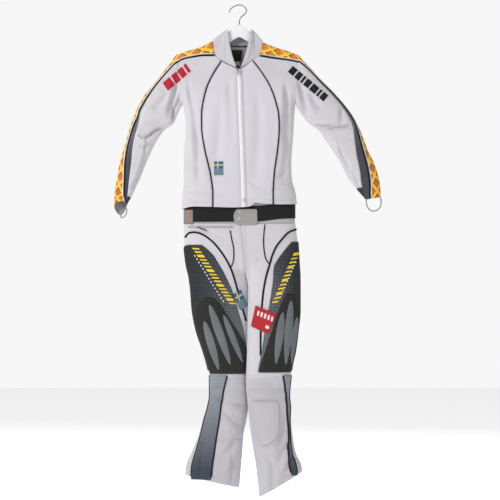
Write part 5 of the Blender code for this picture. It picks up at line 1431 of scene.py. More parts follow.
def tag_finish():
    """White satin ribbon with a dark bar along its lower end."""
    made = Finish("size tag ribbon", 0.45, 0.0)
    u, v, _ = made.place()
    bar = made.inside(v, 0.0125, 0.0165, 0.0005)
    thread = made.weave(0.0006, 0.0006, "twill")
    made.colour(made.mix(bar, (0.760, 0.750, 0.740), (0.030, 0.030, 0.035)))
    made.bump(thread, 0.00006)
    return made.material


tag_white = tag_finish()


def inside_back(name, low, high, top, bottom, lift, finish, replaces, curl):
    """A label on the inside of the back, seen through the neck. Its lower end curls away a little."""
    column = np.linspace(0.0, 1.0, 26)[None, :]
    row = np.linspace(0.0, 1.0, 30)[:, None]
    x = mix(low(row), high(row), column)
    z = mix(top, bottom, row) + 0.0 * x
    y = body_depth(x, z) - WALL - lift - curl * row ** 3 - 0.0004 * np.sin(column * math.pi)
    points = np.stack([x, y, z], -1)
    normals = grid_normals(points, np.broadcast_to(np.array((0.0, -1.0, 0.0)), points.shape))
    u, v = arc_lengths(points)
    made = shell(name, points + normals * 0.0006, normals, finish, 0.0006, uv=(u, v), replaces=replaces)
    declare_cloth(made, points, u, v)


inside_back("neck_label_patch", lambda r: -0.0075 - mix(0.0175, 0.0130, r), lambda r: -0.0075 + mix(0.0175, 0.0130, r),
            -0.1415, -0.1770, 0.0004, label_black, "neck_label", 0.0)
inside_back("size_tag_ribbon", lambda r: -0.0170 + 0.0 * r, lambda r: 0.0030 + 0.0 * r, -0.1790, -0.1980, 0.0012,
            tag_white, "size_tag", 0.0012)
x = np.linspace(-0.046, 0.041, 60)
z = read_row(BACK_TOP, 1, x) - 0.0012
neck_tape = tube("neck_seam_tape", np.stack([x, body_depth(x, z) - WALL - 0.0010, z], -1), 0.0019, piping_black, 12, 0.6)
print("collar:", [entry for entry in SHEETS if "collar" in entry[0] or "label" in entry[0] or "tag" in entry[0]])

# %% [markdown]
# ## Waistband, belt and snaps
# The upper part ends in a hem over the belt. Behind it a grey waistband joins the upper part to the
# trousers, and a 50 mm black elastic belt lies round it. Its ends meet in front in a grey tab that
# closes with two snaps, and a grey elastic end with an orange stripe shows at the right.

# %% The waist's form
BELT_BOTTOM = ((-0.180, -0.6930), (0.057, -0.6915), (0.135, -0.6830), (0.185, -0.6810))
WAIST_CENTRE = 0.0010


def waist_points(turn, z):
    """The waist section. A turn of 0 is its right side, a quarter turn the front."""
    turn, z = np.broadcast_arrays(turn, z)
    deep = 0.0330 * bulge(np.cos(turn), 4.0)
    return np.stack([WAIST_CENTRE - 0.1765 * np.cos(turn), -np.where(np.sin(turn) >= 0, 1.0, -1.0) * deep, z], -1)


def waist_outward(points):
    out = points - np.array((WAIST_CENTRE, 0.0, 0.0))
    out[..., 2] = 0.0
    return out


def ring_turns(count):
    """Turns of a closed ring, closer together at the two ends of the flat section."""
    even = np.linspace(0.0, 2 * math.pi, count, endpoint=False)
    return even - 0.30 * np.sin(2 * even) / 2


def belt_finish():
    """Black elastic: ribs across it with their crests painted lighter as a painted highlight, a knitted edge, and a
    worn brownish tone.
    """
    made = Finish("belt elastic", 0.72, 0.05)
    u, v, _ = made.place()
    ribs = made.wave(v, 0.0032)
    threads = made.wave(u, 0.0014)
    cloud = made.noise(30.0, 3.0)
    base = made.mix(cloud, (0.006, 0.0065, 0.0065), (0.014, 0.014, 0.0135))
    height = made.math("ADD", ribs, made.math("MULTIPLY", threads, 0.5))
    # The rib crests get a lighter colour, which is a painted highlight on the ribs.
    made.colour(made.mix(made.step(ribs, 0.2, 0.8), base, (0.017, 0.0175, 0.017)))
    made.bump(height, 0.00030)
    return made.material


def end_finish():
    """Grey elastic with an orange stripe along the middle of its length."""
    made = Finish("belt end elastic", 0.65, 0.05)
    u, v, _ = made.place()
    ribs = made.wave(v, 0.0024)
    stripe = made.inside(u, 0.0170, 0.0215, 0.0006)
    edge = made.inside(u, 0.0150, 0.0235, 0.0006)
    shade = made.mix(edge, (0.190, 0.205, 0.225), (0.100, 0.110, 0.125))
    made.colour(made.mix(stripe, shade, (0.640, 0.190, 0.045)))
    made.bump(ribs, 0.00022)
    return made.material


belt_elastic, end_elastic = belt_finish(), end_finish()
band_knit = cloth_finish("waistband knit", (0.480, 0.465, 0.490), 0.0020, "rib", 0.00035, 0.05)
tab_grey = cloth_finish("belt tab cloth", (0.360, 0.350, 0.345), 0.0011, "twill", 0.00022, 0.06, 0.60)

turns = ring_turns(176)[None, :]
z = np.linspace(-0.6970, -0.6260, 26)[::-1][:, None]
low = waist_points(turns, z)
right, left = read_row(TORSO, 1, -0.602), read_row(TORSO, 2, -0.602)
x = (right + left) / 2 - (left - right) / 2 * np.cos(turns[0])
top = body_points(x, np.full(x.shape, -0.602), np.where(np.sin(turns[0]) >= 0, 1.0, -1.0))
inward = unit(np.array((WAIST_CENTRE, 0.0, -0.602)) - top) * 0.0035
flare = mix((top + inward)[None], low[:1], np.linspace(0.0, 1.0, 9)[:-1, None, None])
base = np.concatenate([flare, low])
normals = grid_normals(base, waist_outward(base))
normals[:, [0, -1]] = unit(normals[:, [0, -1]] * np.array((1.0, 0.0, 1.0)))
u, v = arc_lengths(base)
puckers = 0.0004 * np.sin(2 * math.pi * u / 0.011) * smooth((v - v.max() + 0.030) / 0.030)
band = shell("waistband_ring", base + normals * (puckers - 0.0001)[..., None], normals, band_knit, closed=True, uv=(u, v),
             replaces="waistband", lining=lining)
declare_cloth(band, base, u, v)


def waist_patch(name, turn_low, turn_high, top, bottom, columns, finish, height, thickness, replaces, closed=False, sag=0.0):
    """A band or a patch on the waist, at a height over it. top and bottom give its edges at each x."""
    column = ring_turns(columns) if closed else mix(turn_low, turn_high, np.linspace(0.0, 1.0, columns))
    x = WAIST_CENTRE - 0.1765 * np.cos(column)
    z = mix(top(x)[None, :], bottom(x)[None, :], np.linspace(0.0, 1.0, 24)[:, None])
    base = waist_points(column[None, :], z)
    normals = grid_normals(base, waist_outward(base))
    if closed:
        normals[:, [0, -1]] = unit(normals[:, [0, -1]] * np.array((1.0, 0.0, 1.0)))
    rows = np.linspace(-1.0, 1.0, 24)[:, None]
    rim = 0.0005 * (np.abs(rows) > 0.97) + sag * (1.0 - rows ** 2)
    u, v = arc_lengths(base)
    raised = base + normals * (height - rim + 0.0 * u)[..., None]
    made = shell(name, raised, normals, finish, thickness, closed=closed, uv=(u, v), replaces=replaces)
    declare_cloth(made, raised, u, v)
    return made


waist_patch("belt_band", 0, 0, lambda x: read_row(BELT_BOTTOM, 1, x) + 0.050, lambda x: read_row(BELT_BOTTOM, 1, x),
            176, belt_elastic, 0.0023, 0.0017, "belt", True, 0.0002)
quarter = math.radians
waist_patch("belt_end_piece", quarter(6), quarter(33), lambda x: x * 0 - 0.6540, lambda x: x * 0 - 0.6990,
            60, end_elastic, 0.0040, 0.0011, "belt_end")
rows = np.linspace(0.0, 1.0, 44)[:, None]
inset = 0.010 * np.abs(2 * rows - 1) ** 2.6
x = mix(-0.0180 + inset, 0.0575 - 0.003 * np.abs(2 * rows - 1) ** 6, np.linspace(0.0, 1.0, 70)[None, :])
turn = np.arccos((WAIST_CENTRE - x) / 0.1765)
base = waist_points(turn, mix(-0.6520, -0.7020, rows) + 0.0 * x)
normals = grid_normals(base, waist_outward(base))
u, v = arc_lengths(base)
rim = np.minimum(np.minimum(u, u[:, -1:] - u), np.minimum(v, v[-1:] - v))
profile = 0.0040 - 0.0006 * np.exp(-(rim / 0.0008) ** 2) - 0.0004 * np.exp(-((rim - 0.0032) / 0.0007) ** 2)
profile = profile + 0.0004 * np.sin(u * 60.0) * np.sin(v * 75.0)
tab = shell("belt_tab_cloth", base + normals * profile[..., None], normals, tab_grey, 0.0011, uv=(u, v),
            replaces="belt_tab")
declare_cloth(tab, base, u, v)
print("waist pieces:", [entry for entry in SHEETS[-5:]])

# %% [markdown]
# ## Snaps
# A snap is two pressed metal cups with a ring between them. Its cap is a disc with a rolled rim and a
# shallow dish, turned as a profile. The caps are worn nickel.

# %% Snaps
def metal_finish(name, colour, roughness, wear):
    made = Finish(name, roughness, 0.0, 1.0, 0.5)
    cloud = made.noise(220.0, 4.0)
    made.colour(made.mix(cloud, tuple(c * (1 - wear) for c in colour), colour))
    made.link(made.math("MULTIPLY_ADD", cloud, 0.18, roughness - 0.06), made.shader.inputs["Roughness"])
    made.bump(made.noise(900.0, 2.0), 0.00003)
    return made.material


nickel = metal_finish("worn nickel", (0.600, 0.590, 0.570), 0.26, 0.30)
dark_steel = metal_finish("dark steel", (0.180, 0.180, 0.190), 0.30, 0.30)


def turned(name, profile, place, axis, finish, sides=64, body="suit"):
    """A solid of revolution. profile is (radius, height) from its back to the middle of its front."""
    axis = Vector(axis).normalized()
    across = axis.orthogonal().normalized()
    over = axis.cross(across)
    points = []
    for radius, height in profile:
        for i in range(sides):
            angle = 2 * math.pi * i / sides
            points.append(Vector(place) + axis * height + (across * math.cos(angle) + over * math.sin(angle)) * radius)
    grid = np.array(points).reshape(len(profile), sides, 3)
    u, v = arc_lengths(grid)
    mesh = grid_mesh(name, grid, u, v, closed=True)
    work = bmesh.new()
    work.from_mesh(mesh)
    bmesh.ops.holes_fill(work, edges=work.edges, sides=0)
    bmesh.ops.recalc_face_normals(work, faces=work.faces)
    work.to_mesh(mesh)
    work.free()
    return add_piece(name, mesh, finish, body)


def snap(name, place, axis, radius, replaces=None):
    profile = ((radius * 0.92, 0.0), (radius, 0.0003), (radius, 0.0009), (radius * 0.97, 0.0013), (radius * 0.88, 0.0016),
               (radius * 0.80, 0.0015), (radius * 0.72, 0.0012), (radius * 0.60, 0.0012), (radius * 0.45, 0.0015),
               (radius * 0.25, 0.0018), (radius * 0.06, 0.0019))
    made = turned(name, profile, place, axis, nickel)
    if replaces:
        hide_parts(replaces)
    return made


def on_waist(x, z, lift):
    turn = math.acos((WAIST_CENTRE - x) / 0.1765)
    place = waist_points(np.array([turn - 0.01, turn, turn + 0.01]), np.full(3, z))
    run = place[2] - place[0]
    normal = unit(np.array((run[1], -run[0], 0.0)))
    return place[1] + normal * lift, normal


place, normal = on_waist(-0.0010, -0.6810, 0.0040)
snap("belt_snap_cap", place, normal, 0.0056, "belt_snap")
place, normal = on_waist(0.0010, -0.6600, 0.0040)
snap("belt_snap_cap_upper", place, normal, 0.0050)
spot = body_points(np.array([0.0150]), np.array([-0.6240]), 1.0)[0]
snap("hem_snap_cap", spot + np.array((0.0, -0.0002, 0.0)), (0.0, -1.0, 0.0), 0.0062, "hem_snap")
rivet = leg_points("right", np.array([-0.7090]), leg_turn("right", np.array([-0.0200]), np.array([-0.7090])), 1)[0]
snap("pocket_rivet", rivet + np.array((0.0, -0.0006, 0.0)), (0.0, -1.0, 0.0), 0.0028)
print("snaps and rivets: 4")

# %% [markdown]
# ## Flags and the red badge
# The patches are woven labels with a heat-cut edge. One is a blue flag with a yellow cross over a plain field.
# The red badge has plain white bars. Each pattern is drawn from the patch's own UV map, in metres.

# %% Flags and badge
def flag_finish(name, wide, long, share):
    """A yellow cross on blue over the upper share of a patch, a plain field below it."""
    made = Finish(name, 0.60, 0.05)
    u, v, _ = made.place()
    end = long * share
    upright = made.inside(u, wide * 0.32, wide * 0.46, 0.0003)
    level = made.inside(v, end * 0.42, end * 0.58, 0.0003)
    cross = made.math("MAXIMUM", upright, level)
    flag = made.mix(cross, (0.022, 0.130, 0.330), (0.720, 0.520, 0.050))
    field = made.mix(made.noise(60.0), (0.110, 0.190, 0.240), (0.170, 0.260, 0.300))
    thread = made.weave(0.0008, 0.0008, "twill")
    colour = made.mix(made.step(v, end, 0.0004), flag, field)
    # The weave darkens the label a little along its threads, which is a painted shade of the weave.
    made.colour(made.mix(made.math("MULTIPLY_ADD", thread, 0.06, 0.06), colour, (0.02, 0.04, 0.07)))
    made.bump(thread, 0.00012)
    return made.material


def badge_finish(wide, long):
    """Red satin with two rows of short white bars and a white square."""
    made = Finish("red badge", 0.50, 0.08)
    u, v, _ = made.place()
    bars = made.step(made.wave(u, wide * 0.165), -0.25, 0.25)
    upper = made.math("MULTIPLY", made.inside(v, long * 0.18, long * 0.40, 0.0004), bars)
    upper = made.math("MULTIPLY", upper, made.inside(u, wide * 0.10, wide * 0.90, 0.0004))
    square = made.math("MULTIPLY", made.inside(u, wide * 0.66, wide * 0.82, 0.0004),
                       made.inside(v, long * 0.66, long * 0.80, 0.0004))
    thread = made.weave(0.0008, 0.0008, "twill")
    colour = made.mix(made.math("MAXIMUM", upper, square), (0.480, 0.018, 0.030), (0.780, 0.760, 0.760))
    # The weave darkens the badge a little along its threads, which is a painted shade of the weave.
    made.colour(made.mix(made.math("MULTIPLY_ADD", thread, 0.05, 0.05), colour, (0.10, 0.01, 0.01)))
    made.bump(thread, 0.00012)
    return made.material


def finish_patch(name, base, normals_of, height, finish, replaces):
    normals, points = normals_of(base)
    u, v = arc_lengths(points)
    raised = points + normals * patch_profile(points, height, 0.0005)[..., None]
    made = shell(name, raised, normals, finish, 0.0008, uv=(u, v), replaces=replaces)
    declare_cloth(made, points, u, v)


column, row = np.linspace(0.0, 1.0, 40)[None, :], np.linspace(0.0, 1.0, 50)[:, None]
x, z = np.broadcast_arrays(mix(-0.0800, -0.0510, column), mix(-0.5000, -0.5440, row))
finish_patch("chest_flag_label", body_points(x, z, 1.0), lambda base: fold_body(base, 1), 0.0013,
             flag_finish("chest flag", 0.0290, 0.0440, 0.52), "chest_flag")
for name, side, corners, replaces in (
        ("thigh_flag_label", "right", ((-0.020, -0.924), (0.004, -0.909), (0.026, -0.961), (0.002, -0.975)), "thigh_flag"),
        ("thigh_badge_label", "left", ((0.053, -0.959), (0.119, -0.986), (0.092, -1.049), (0.039, -1.025)), "thigh_badge")):
    a, b, c, d = np.array(corners)
    place = mix(mix(a, b, column[..., None]), mix(d, c, column[..., None]), row[..., None])
    x, z = place[..., 0], place[..., 1]
    base = leg_points(side, z, leg_turn(side, x, z), 1)
    wide, long = float(np.linalg.norm(b - a)), float(np.linalg.norm(d - a))
    finish = badge_finish(wide, long) if "badge" in name else flag_finish("thigh flag", wide, long, 0.52)
    finish_patch(name, base, lambda base, side=side: fold_leg(side, base), 0.0044, finish, replaces)
print("patches: 3")

# %% [markdown]
# ## Prints on the arms and thighs
# Suits of this kind carry film prints on the arms and thighs. Here they are plain bars, laid out
# as small tiles of transfer film. A mark near the armhole lies half on the body and half on the
# sleeve, so the place on the sleeve is found by a few steps of Newton's method.

# %% Places of the prints
def find_on_arm(side, x, z):
    """Along and turn of the front of the sleeve at x and z."""
    along, turn = np.full(np.shape(x), 1.4), np.full(np.shape(x), math.pi / 2)
    for _ in range(14):
        here = arm_points(side, along, turn)
        by_along = (arm_points(side, along + 0.01, turn) - here) / 0.01
        by_turn = (arm_points(side, along, turn + 0.01) - here) / 0.01
        miss_x, miss_z = x - here[..., 0], z - here[..., 2]
        scale = by_along[..., 0] * by_turn[..., 2] - by_along[..., 2] * by_turn[..., 0]
        scale = np.where(np.abs(scale) < 1e-7, 1e-7, scale)
        step_along = (miss_x * by_turn[..., 2] - miss_z * by_turn[..., 0]) / scale
        step_turn = (by_along[..., 0] * miss_z - by_along[..., 2] * miss_x) / scale
        along = np.clip(along + np.clip(step_along, -0.5, 0.5), 0.0, 10.0)
        turn = np.clip(turn + np.clip(step_turn, -0.4, 0.4), 0.25, math.pi - 0.1)
    return along, turn


def upper_place(side, x, z):
    """Normals and places on the front of the body or the sleeve, with their folds."""
    edge = read_row(TORSO, 1 if side == "right" else 2, z)
    on_body = x > edge + 0.0005 if side == "right" else x < edge - 0.0005
    body = body_points(x, z, 1.0)
    along, turn = find_on_arm(side, x, z)
    arm = arm_points(side, along, turn)
    base = np.where(on_body[..., None], body, arm)
    normals = grid_normals(base, np.broadcast_to(np.array((0.0, -1.0, 0.0)), base.shape))
    body_moved = fold_body(body, 1)[1] - body
    arm_moved = fold_arm(side, arm, along, turn)[1] - arm
    moved = np.where(on_body[..., None], body_moved, arm_moved)
    return normals, base + normals * (moved * normals).sum(-1, keepdims=True)


def leg_place(side, x, z):
    return fold_leg(side, leg_points(side, z, leg_turn(side, x, z), 1))


def tiles(name, place, side, quads, finish, lift, steps=9, thickness=0.0003):
    """Thin flat pieces on a surface, one for each quad of x and height, in one mesh."""
    share = np.linspace(0.0, 1.0, steps)
    column, row = share[None, :, None], share[:, None, None]
    points, faces, places, normals_all = [], [], [], []
    grid = np.arange(steps * steps).reshape(steps, steps)
    cell = np.stack([grid[:-1, :-1], grid[:-1, 1:], grid[1:, 1:], grid[1:, :-1]], -1).reshape(-1, 4)
    for quad in quads:
        a, b, c, d = (np.array(corner, float) for corner in quad)
        at = mix(mix(a, b, column), mix(d, c, column), row)
        normals, here = place(side, at[..., 0], at[..., 1])
        raised = here + normals * patch_profile(here, lift, 0.0002)[..., None]
        u, v = arc_lengths(here)
        faces.append(cell + len(points) * steps * steps)
        points.append(raised.reshape(-1, 3))
        normals_all.append(normals.reshape(-1, 3))
        places.append(np.stack([u, v], -1).reshape(-1, 2))
    points, faces, places = np.concatenate(points), np.concatenate(faces), np.concatenate(places)
    mesh = bpy.data.meshes.new(name)
    mesh.from_pydata(points, [], faces.tolist())
    layer = mesh.uv_layers.new(name="UVMap")
    layer.data.foreach_set("uv", places[faces.reshape(-1)].reshape(-1))
    mesh.shade_smooth()
    outward_grid(mesh, np.concatenate(normals_all))
    made = add_piece(name, mesh, finish)
    wall = made.modifiers.new("film thickness", "SOLIDIFY")
    wall.thickness = thickness
    wall.offset = -1.0
    return made


def slanted_bars(start, end, lengths, gap, half, lean):
    """Quads in a row from start to end. lengths are the bars' shares, half their half height."""
    start, end = np.array(start, float), np.array(end, float)
    run = (end - start) / np.linalg.norm(end - start)
    up = np.array((-run[1], run[0]))
    total = sum(lengths) + gap * (len(lengths) - 1)
    scale = np.linalg.norm(end - start) / total
    at, quads = 0.0, []
    for length in lengths:
        a, b = start + run * at * scale, start + run * (at + length) * scale
        skew = run * half * lean
        quads.append((a + up * half + skew, b + up * half + skew, b - up * half - skew, a - up * half - skew))
        at += length + gap
    return quads


# %% Prints
def film_finish(name, colour, roughness=0.60):
    made = Finish(name, roughness)
    cloud = made.noise(120.0, 3.0)
    made.colour(made.mix(cloud, tuple(c * 0.86 for c in colour), colour))
    made.bump(made.weave(0.0012, 0.0012), 0.00006)
    return made.material


red_film = film_finish("red film", (0.450, 0.012, 0.028))
black_film = film_finish("black film", (0.012, 0.013, 0.015))
yellow_film = film_finish("yellow film", (0.820, 0.580, 0.020))
white_film = film_finish("white film", (0.700, 0.710, 0.720))
quads = slanted_bars((-0.236, -0.262), (-0.163, -0.199), (2.6, 1.8, 1.8, 0.9), 0.55, 0.0150, 0.12)
tiles("arm_bars_right", upper_place, "right", quads, red_film, 0.0012)
quads = slanted_bars((0.163, -0.204), (0.276, -0.299), (1.6, 1.4, 0.6, 1.5, 1.8, 0.6, 1.4), 0.42, 0.0125, 0.0)
tiles("arm_bars_left", upper_place, "left", quads, black_film, 0.0012)
quads = slanted_bars((-0.139, -0.776), (-0.020, -0.955), (0.5, 0.5, 0.9, 0.45) * 4, 0.62, 0.0090, 0.75)
tiles("thigh_bars_right", leg_place, "right", quads, yellow_film, THIGH_TOP + 0.0005)
quads = slanted_bars((-0.142, -0.799), (-0.050, -0.948), (0.5,) * 15, 0.62, 0.0017, 0.0)
tiles("thigh_dashes_right", leg_place, "right", quads, white_film, THIGH_TOP + 0.0005, 5)
quads = slanted_bars((0.114, -0.950), (0.183, -0.790), (0.5, 0.45, 0.9) * 4, 0.62, 0.0080, -0.65)
tiles("thigh_bars_left", leg_place, "left", quads, yellow_film, THIGH_TOP + 0.0005)
quads = slanted_bars((0.130, -0.935), (0.180, -0.820), (0.5,) * 12, 0.62, 0.0015, 0.0)
tiles("thigh_dashes_left", leg_place, "left", quads, white_film, THIGH_TOP + 0.0005, 5)
print("prints: red, black, yellow and white bars")

# %% [markdown]
# ## The zip
# The front zip has white coil teeth on a white tape between two narrow plackets. The teeth repeat
# along the tape, so Geometry Nodes place them: a line is resampled at the pitch, and one tooth is put
# on each point, stepping left and right in turn. The slider and its pull are cast and plated.

# %% A tree that repeats a piece along a line
def repeat_tree(name, shape):
    """Geometry Nodes that put a small piece along a line, turned to its run and to the surface."""
    tree = bpy.data.node_groups.new(name, "GeometryNodeTree")
    face = tree.interface
    face.new_socket("Line", in_out="INPUT", socket_type="NodeSocketGeometry")
    for label, value in (("Pitch", 0.0036), ("Side step", 0.0), ("Jitter", 0.0)):
        face.new_socket(label, in_out="INPUT", socket_type="NodeSocketFloat").default_value = value
    face.new_socket("Size", in_out="INPUT", socket_type="NodeSocketVector").default_value = (0.003, 0.0007, 0.0005)
    face.new_socket("Seed", in_out="INPUT", socket_type="NodeSocketInt").default_value = 7
    face.new_socket("Finish", in_out="INPUT", socket_type="NodeSocketMaterial")
    face.new_socket("Pieces", in_out="OUTPUT", socket_type="NodeSocketGeometry")
    node, link = tree.nodes.new, tree.links.new
    start, end = node("NodeGroupInput"), node("NodeGroupOutput")
    curve, even = node("GeometryNodeMeshToCurve"), node("GeometryNodeResampleCurve")
    even.mode = "LENGTH"
    normal = node("GeometryNodeInputNamedAttribute")
    normal.data_type = "FLOAT_VECTOR"
    normal.inputs["Name"].default_value = "surface_normal"
    run = node("GeometryNodeInputTangent")
    upright, along = node("FunctionNodeAlignRotationToVector"), node("FunctionNodeAlignRotationToVector")
    upright.axis, along.axis, along.pivot_axis = "Z", "X", "Z"
    sideways, amount, place = node("ShaderNodeVectorMath"), node("ShaderNodeVectorMath"), node("GeometryNodeSetPosition")
    sideways.operation, amount.operation = "CROSS_PRODUCT", "SCALE"
    index, odd, sign = node("GeometryNodeInputIndex"), node("ShaderNodeMath"), node("ShaderNodeMath")
    odd.operation, odd.inputs[1].default_value = "MODULO", 2.0
    sign.operation, sign.inputs[1].default_value, sign.inputs[2].default_value = "MULTIPLY_ADD", 2.0, -1.0
    stride, random, total = node("ShaderNodeMath"), node("FunctionNodeRandomValue"), node("ShaderNodeMath")
    stride.operation, total.operation = "MULTIPLY", "ADD"
    spread = node("ShaderNodeMath")
    spread.operation = "MULTIPLY"
    random.inputs["Min"].default_value = -1.0
    if shape == "round":
        piece = node("GeometryNodeMeshIcoSphere")
        piece.inputs["Radius"].default_value = 0.5
    else:
        piece = node("GeometryNodeMeshCube")
        piece.inputs["Size"].default_value = (1.0, 1.0, 1.0)
    put, solid, finish = node("GeometryNodeInstanceOnPoints"), node("GeometryNodeRealizeInstances"), node("GeometryNodeSetMaterial")
    for source, target in (
            (start.outputs["Line"], curve.inputs[0]), (curve.outputs[0], even.inputs["Curve"]),
            (start.outputs["Pitch"], even.inputs["Length"]), (even.outputs[0], place.inputs["Geometry"]),
            (normal.outputs[0], sideways.inputs[0]), (run.outputs[0], sideways.inputs[1]),
            (index.outputs[0], odd.inputs[0]), (odd.outputs[0], sign.inputs[0]), (sign.outputs[0], stride.inputs[0]),
            (start.outputs["Side step"], stride.inputs[1]), (start.outputs["Seed"], random.inputs["Seed"]),
            (random.outputs["Value"], spread.inputs[0]), (start.outputs["Jitter"], spread.inputs[1]),
            (stride.outputs[0], total.inputs[0]), (spread.outputs[0], total.inputs[1]),
            (sideways.outputs[0], amount.inputs[0]), (total.outputs[0], amount.inputs["Scale"]),
            (amount.outputs[0], place.inputs["Offset"]), (place.outputs[0], put.inputs["Points"]),
            (piece.outputs["Mesh"], put.inputs["Instance"]), (normal.outputs[0], upright.inputs["Vector"]),
            (upright.outputs[0], along.inputs["Rotation"]), (run.outputs[0], along.inputs["Vector"]),
            (along.outputs[0], put.inputs["Rotation"]), (start.outputs["Size"], put.inputs["Scale"]),
            (put.outputs[0], solid.inputs[0]), (solid.outputs[0], finish.inputs["Geometry"]),
            (start.outputs["Finish"], finish.inputs["Material"]), (finish.outputs[0], end.inputs[0])):
        link(source, target)
    return tree


STITCH_TREE, TOOTH_TREE = repeat_tree("stitches along a line", "round"), repeat_tree("teeth along a line", "block")


def repeat_along(name, routes, tree, finish, **values):
    """Puts pieces along routes, each a pair of points and surface normals, and makes a plain mesh."""
    points, edges, normals = [], [], []
    for route, normal in routes:
        first = len(points)
        points.extend(map(tuple, route))
        normals.extend(map(tuple, normal))
        edges.extend((first + i, first + i + 1) for i in range(len(route) - 1))
    mesh = bpy.data.meshes.new(name + "_line")
    mesh.from_pydata(points, edges, [])
    layer = mesh.attributes.new("surface_normal", "FLOAT_VECTOR", "POINT")
    layer.data.foreach_set("vector", np.asarray(normals, np.float32).reshape(-1))
    line = bpy.data.objects.new(name + "_line", mesh)
    bpy.context.scene.collection.objects.link(line)
    nodes = line.modifiers.new("repeat", "NODES")
    nodes.node_group = tree
    values["Finish"] = finish
    for socket in tree.interface.items_tree:
        if socket.in_out == "INPUT" and socket.name in values:
            nodes[socket.identifier] = values[socket.name]
    bpy.context.view_layer.update()
    made = bpy.data.meshes.new_from_object(line.evaluated_get(bpy.context.evaluated_depsgraph_get()))
    bpy.data.objects.remove(line)
    made.name = name
    made.shade_smooth() if tree == STITCH_TREE else made.shade_flat()
    print(name, "has", len(made.polygons), "faces")
    return add_piece(name, made, finish)


# %% Tapes, teeth, slider and pull
zip_white = cloth_finish("zip tape", (0.860, 0.855, 0.870), 0.0010, "twill", 0.00012, 0.02, 0.60)
tooth_white = film_finish("tooth nylon", (0.880, 0.875, 0.880), 0.40)
chrome = metal_finish("chrome", (0.680, 0.680, 0.700), 0.18, 0.15)
base = body_grid(seam_edge(2, -0.0055), seam_edge(2, 0.0055), 1, FRONT_TOP, body_rows, np.linspace(0.0, 1.0, 15), 0.004)
normals, points = fold_body(base, 1)
u, v = arc_lengths(points)
profile = patch_profile(points, 0.0013, 0.0005) + 0.0004 * np.exp(-((u / 0.011 - 0.5) / 0.16) ** 2)
tape = shell("zip_tape_band", points + normals * profile[..., None], normals, zip_white, 0.0008, uv=(u, v),
             replaces="zip_tape")
declare_cloth(tape, points, u, v)
middle = (points + normals * 0.0019)[:, 7]
repeat_along("zip_teeth", [(middle[2:-1], normals[2:-1, 7])], TOOTH_TREE, tooth_white,
             **{"Pitch": 0.0017, "Side step": 0.0009, "Size": (0.0011, 0.0036, 0.0011)})
for side, sign in (("right", -1.0), ("left", 1.0)):
    edges = (seam_edge(2, sign * 0.0060), seam_edge(2, sign * 0.0105))
    edges = edges if sign > 0 else edges[::-1]
    base = body_grid(*edges, 1, FRONT_TOP, body_rows, np.linspace(0, 1, 9), 0.004)
    placket_normals, placket = fold_body(base, 1)
    flap = patch_profile(placket, 0.0012, 0.0004) + 0.0003 * np.sin(np.linspace(0, math.pi, 9))[None, :]
    u, v = arc_lengths(placket)
    made = shell("zip_placket_" + side, placket + placket_normals * flap[..., None], placket_normals, pale_knit, 0.0008,
                 uv=(u, v))


def plate(name, outlines, thickness, y, finish, bevel=0.0004, body="suit"):
    """A flat plate from closed outlines of x and height. The first is its rim and the others are holes."""
    curve = bpy.data.curves.new(name, "CURVE")
    curve.dimensions = "2D"
    curve.fill_mode = "BOTH"
    curve.extrude = thickness / 2 - bevel
    curve.bevel_depth = bevel
    curve.bevel_resolution = 3
    curve.offset = -bevel
    for outline in outlines:
        line = curve.splines.new("POLY")
        line.points.add(len(outline) - 1)
        for point, (x, z) in zip(line.points, outline):
            point.co = (x, z, 0.0, 1.0)
        line.use_cyclic_u = True
    flat = bpy.data.objects.new(name + "_outline", curve)
    bpy.context.scene.collection.objects.link(flat)
    bpy.context.view_layer.update()
    mesh = bpy.data.meshes.new_from_object(flat.evaluated_get(bpy.context.evaluated_depsgraph_get()))
    bpy.data.objects.remove(flat)
    mesh.name = name
    for vertex in mesh.vertices:
        x, z, forward = vertex.co
        vertex.co = (x, y - forward, z)
    work = bmesh.new()
    work.from_mesh(mesh)
    bmesh.ops.remove_doubles(work, verts=work.verts, dist=1e-6)
    bmesh.ops.recalc_face_normals(work, faces=work.faces)
    for edge in work.edges:
        edge.smooth = edge.calc_face_angle(0.0) < 0.7
    for face in work.faces:
        face.smooth = True
    work.to_mesh(mesh)
    work.free()
    return add_piece(name, mesh, finish, body)


def rounded(x, z, wide, long, radius, count=8, foot=1.0):
    """Outline of a rounded rectangle about a centre. foot narrows its lower end."""
    points = []
    for corner, (sx, sz) in enumerate(((1, 1), (-1, 1), (-1, -1), (1, -1))):
        for i in range(count + 1):
            angle = math.pi / 2 * (corner + i / count)
            px = sx * (wide / 2 - radius) + radius * math.cos(angle)
            pz = sz * (long / 2 - radius) + radius * math.sin(angle)
            points.append((x + px * mix(foot, 1.0, (pz + long / 2) / long), z + pz))
    return points


SLIDER_X, SLIDER_Z, HINGE_Y, HINGE_Z = -0.0035, -0.2110, -0.0335, -0.2075
body_part = plate("zip_slider_body", [rounded(SLIDER_X, SLIDER_Z, 0.0085, 0.0130, 0.0026, foot=0.72)], 0.0042, -0.0303,
                  chrome, 0.0008)
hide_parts("zip_slider")
for sign in (-1, 1):
    plate(f"zip_slider_lug_{'left' if sign > 0 else 'right'}",
          [[(SLIDER_X + sign * 0.0038 + 0.0004 * math.cos(a), HINGE_Z + 0.0022 * math.sin(a))
            for a in np.linspace(0, 2 * math.pi, 24, endpoint=False)]], 0.0024, -0.0334, chrome, 0.0001)
pull_outline = rounded(SLIDER_X, HINGE_Z + 0.0005 - 0.0100, 0.0060, 0.0200, 0.0022, foot=1.0)
pull_hole = rounded(SLIDER_X, HINGE_Z + 0.0005 - 0.0150, 0.0028, 0.0060, 0.0013)
pull = plate("zip_pull_tab", [pull_outline, pull_hole[::-1]], 0.0014, HINGE_Y, chrome, 0.0004, "pull")
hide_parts("zip_pull")

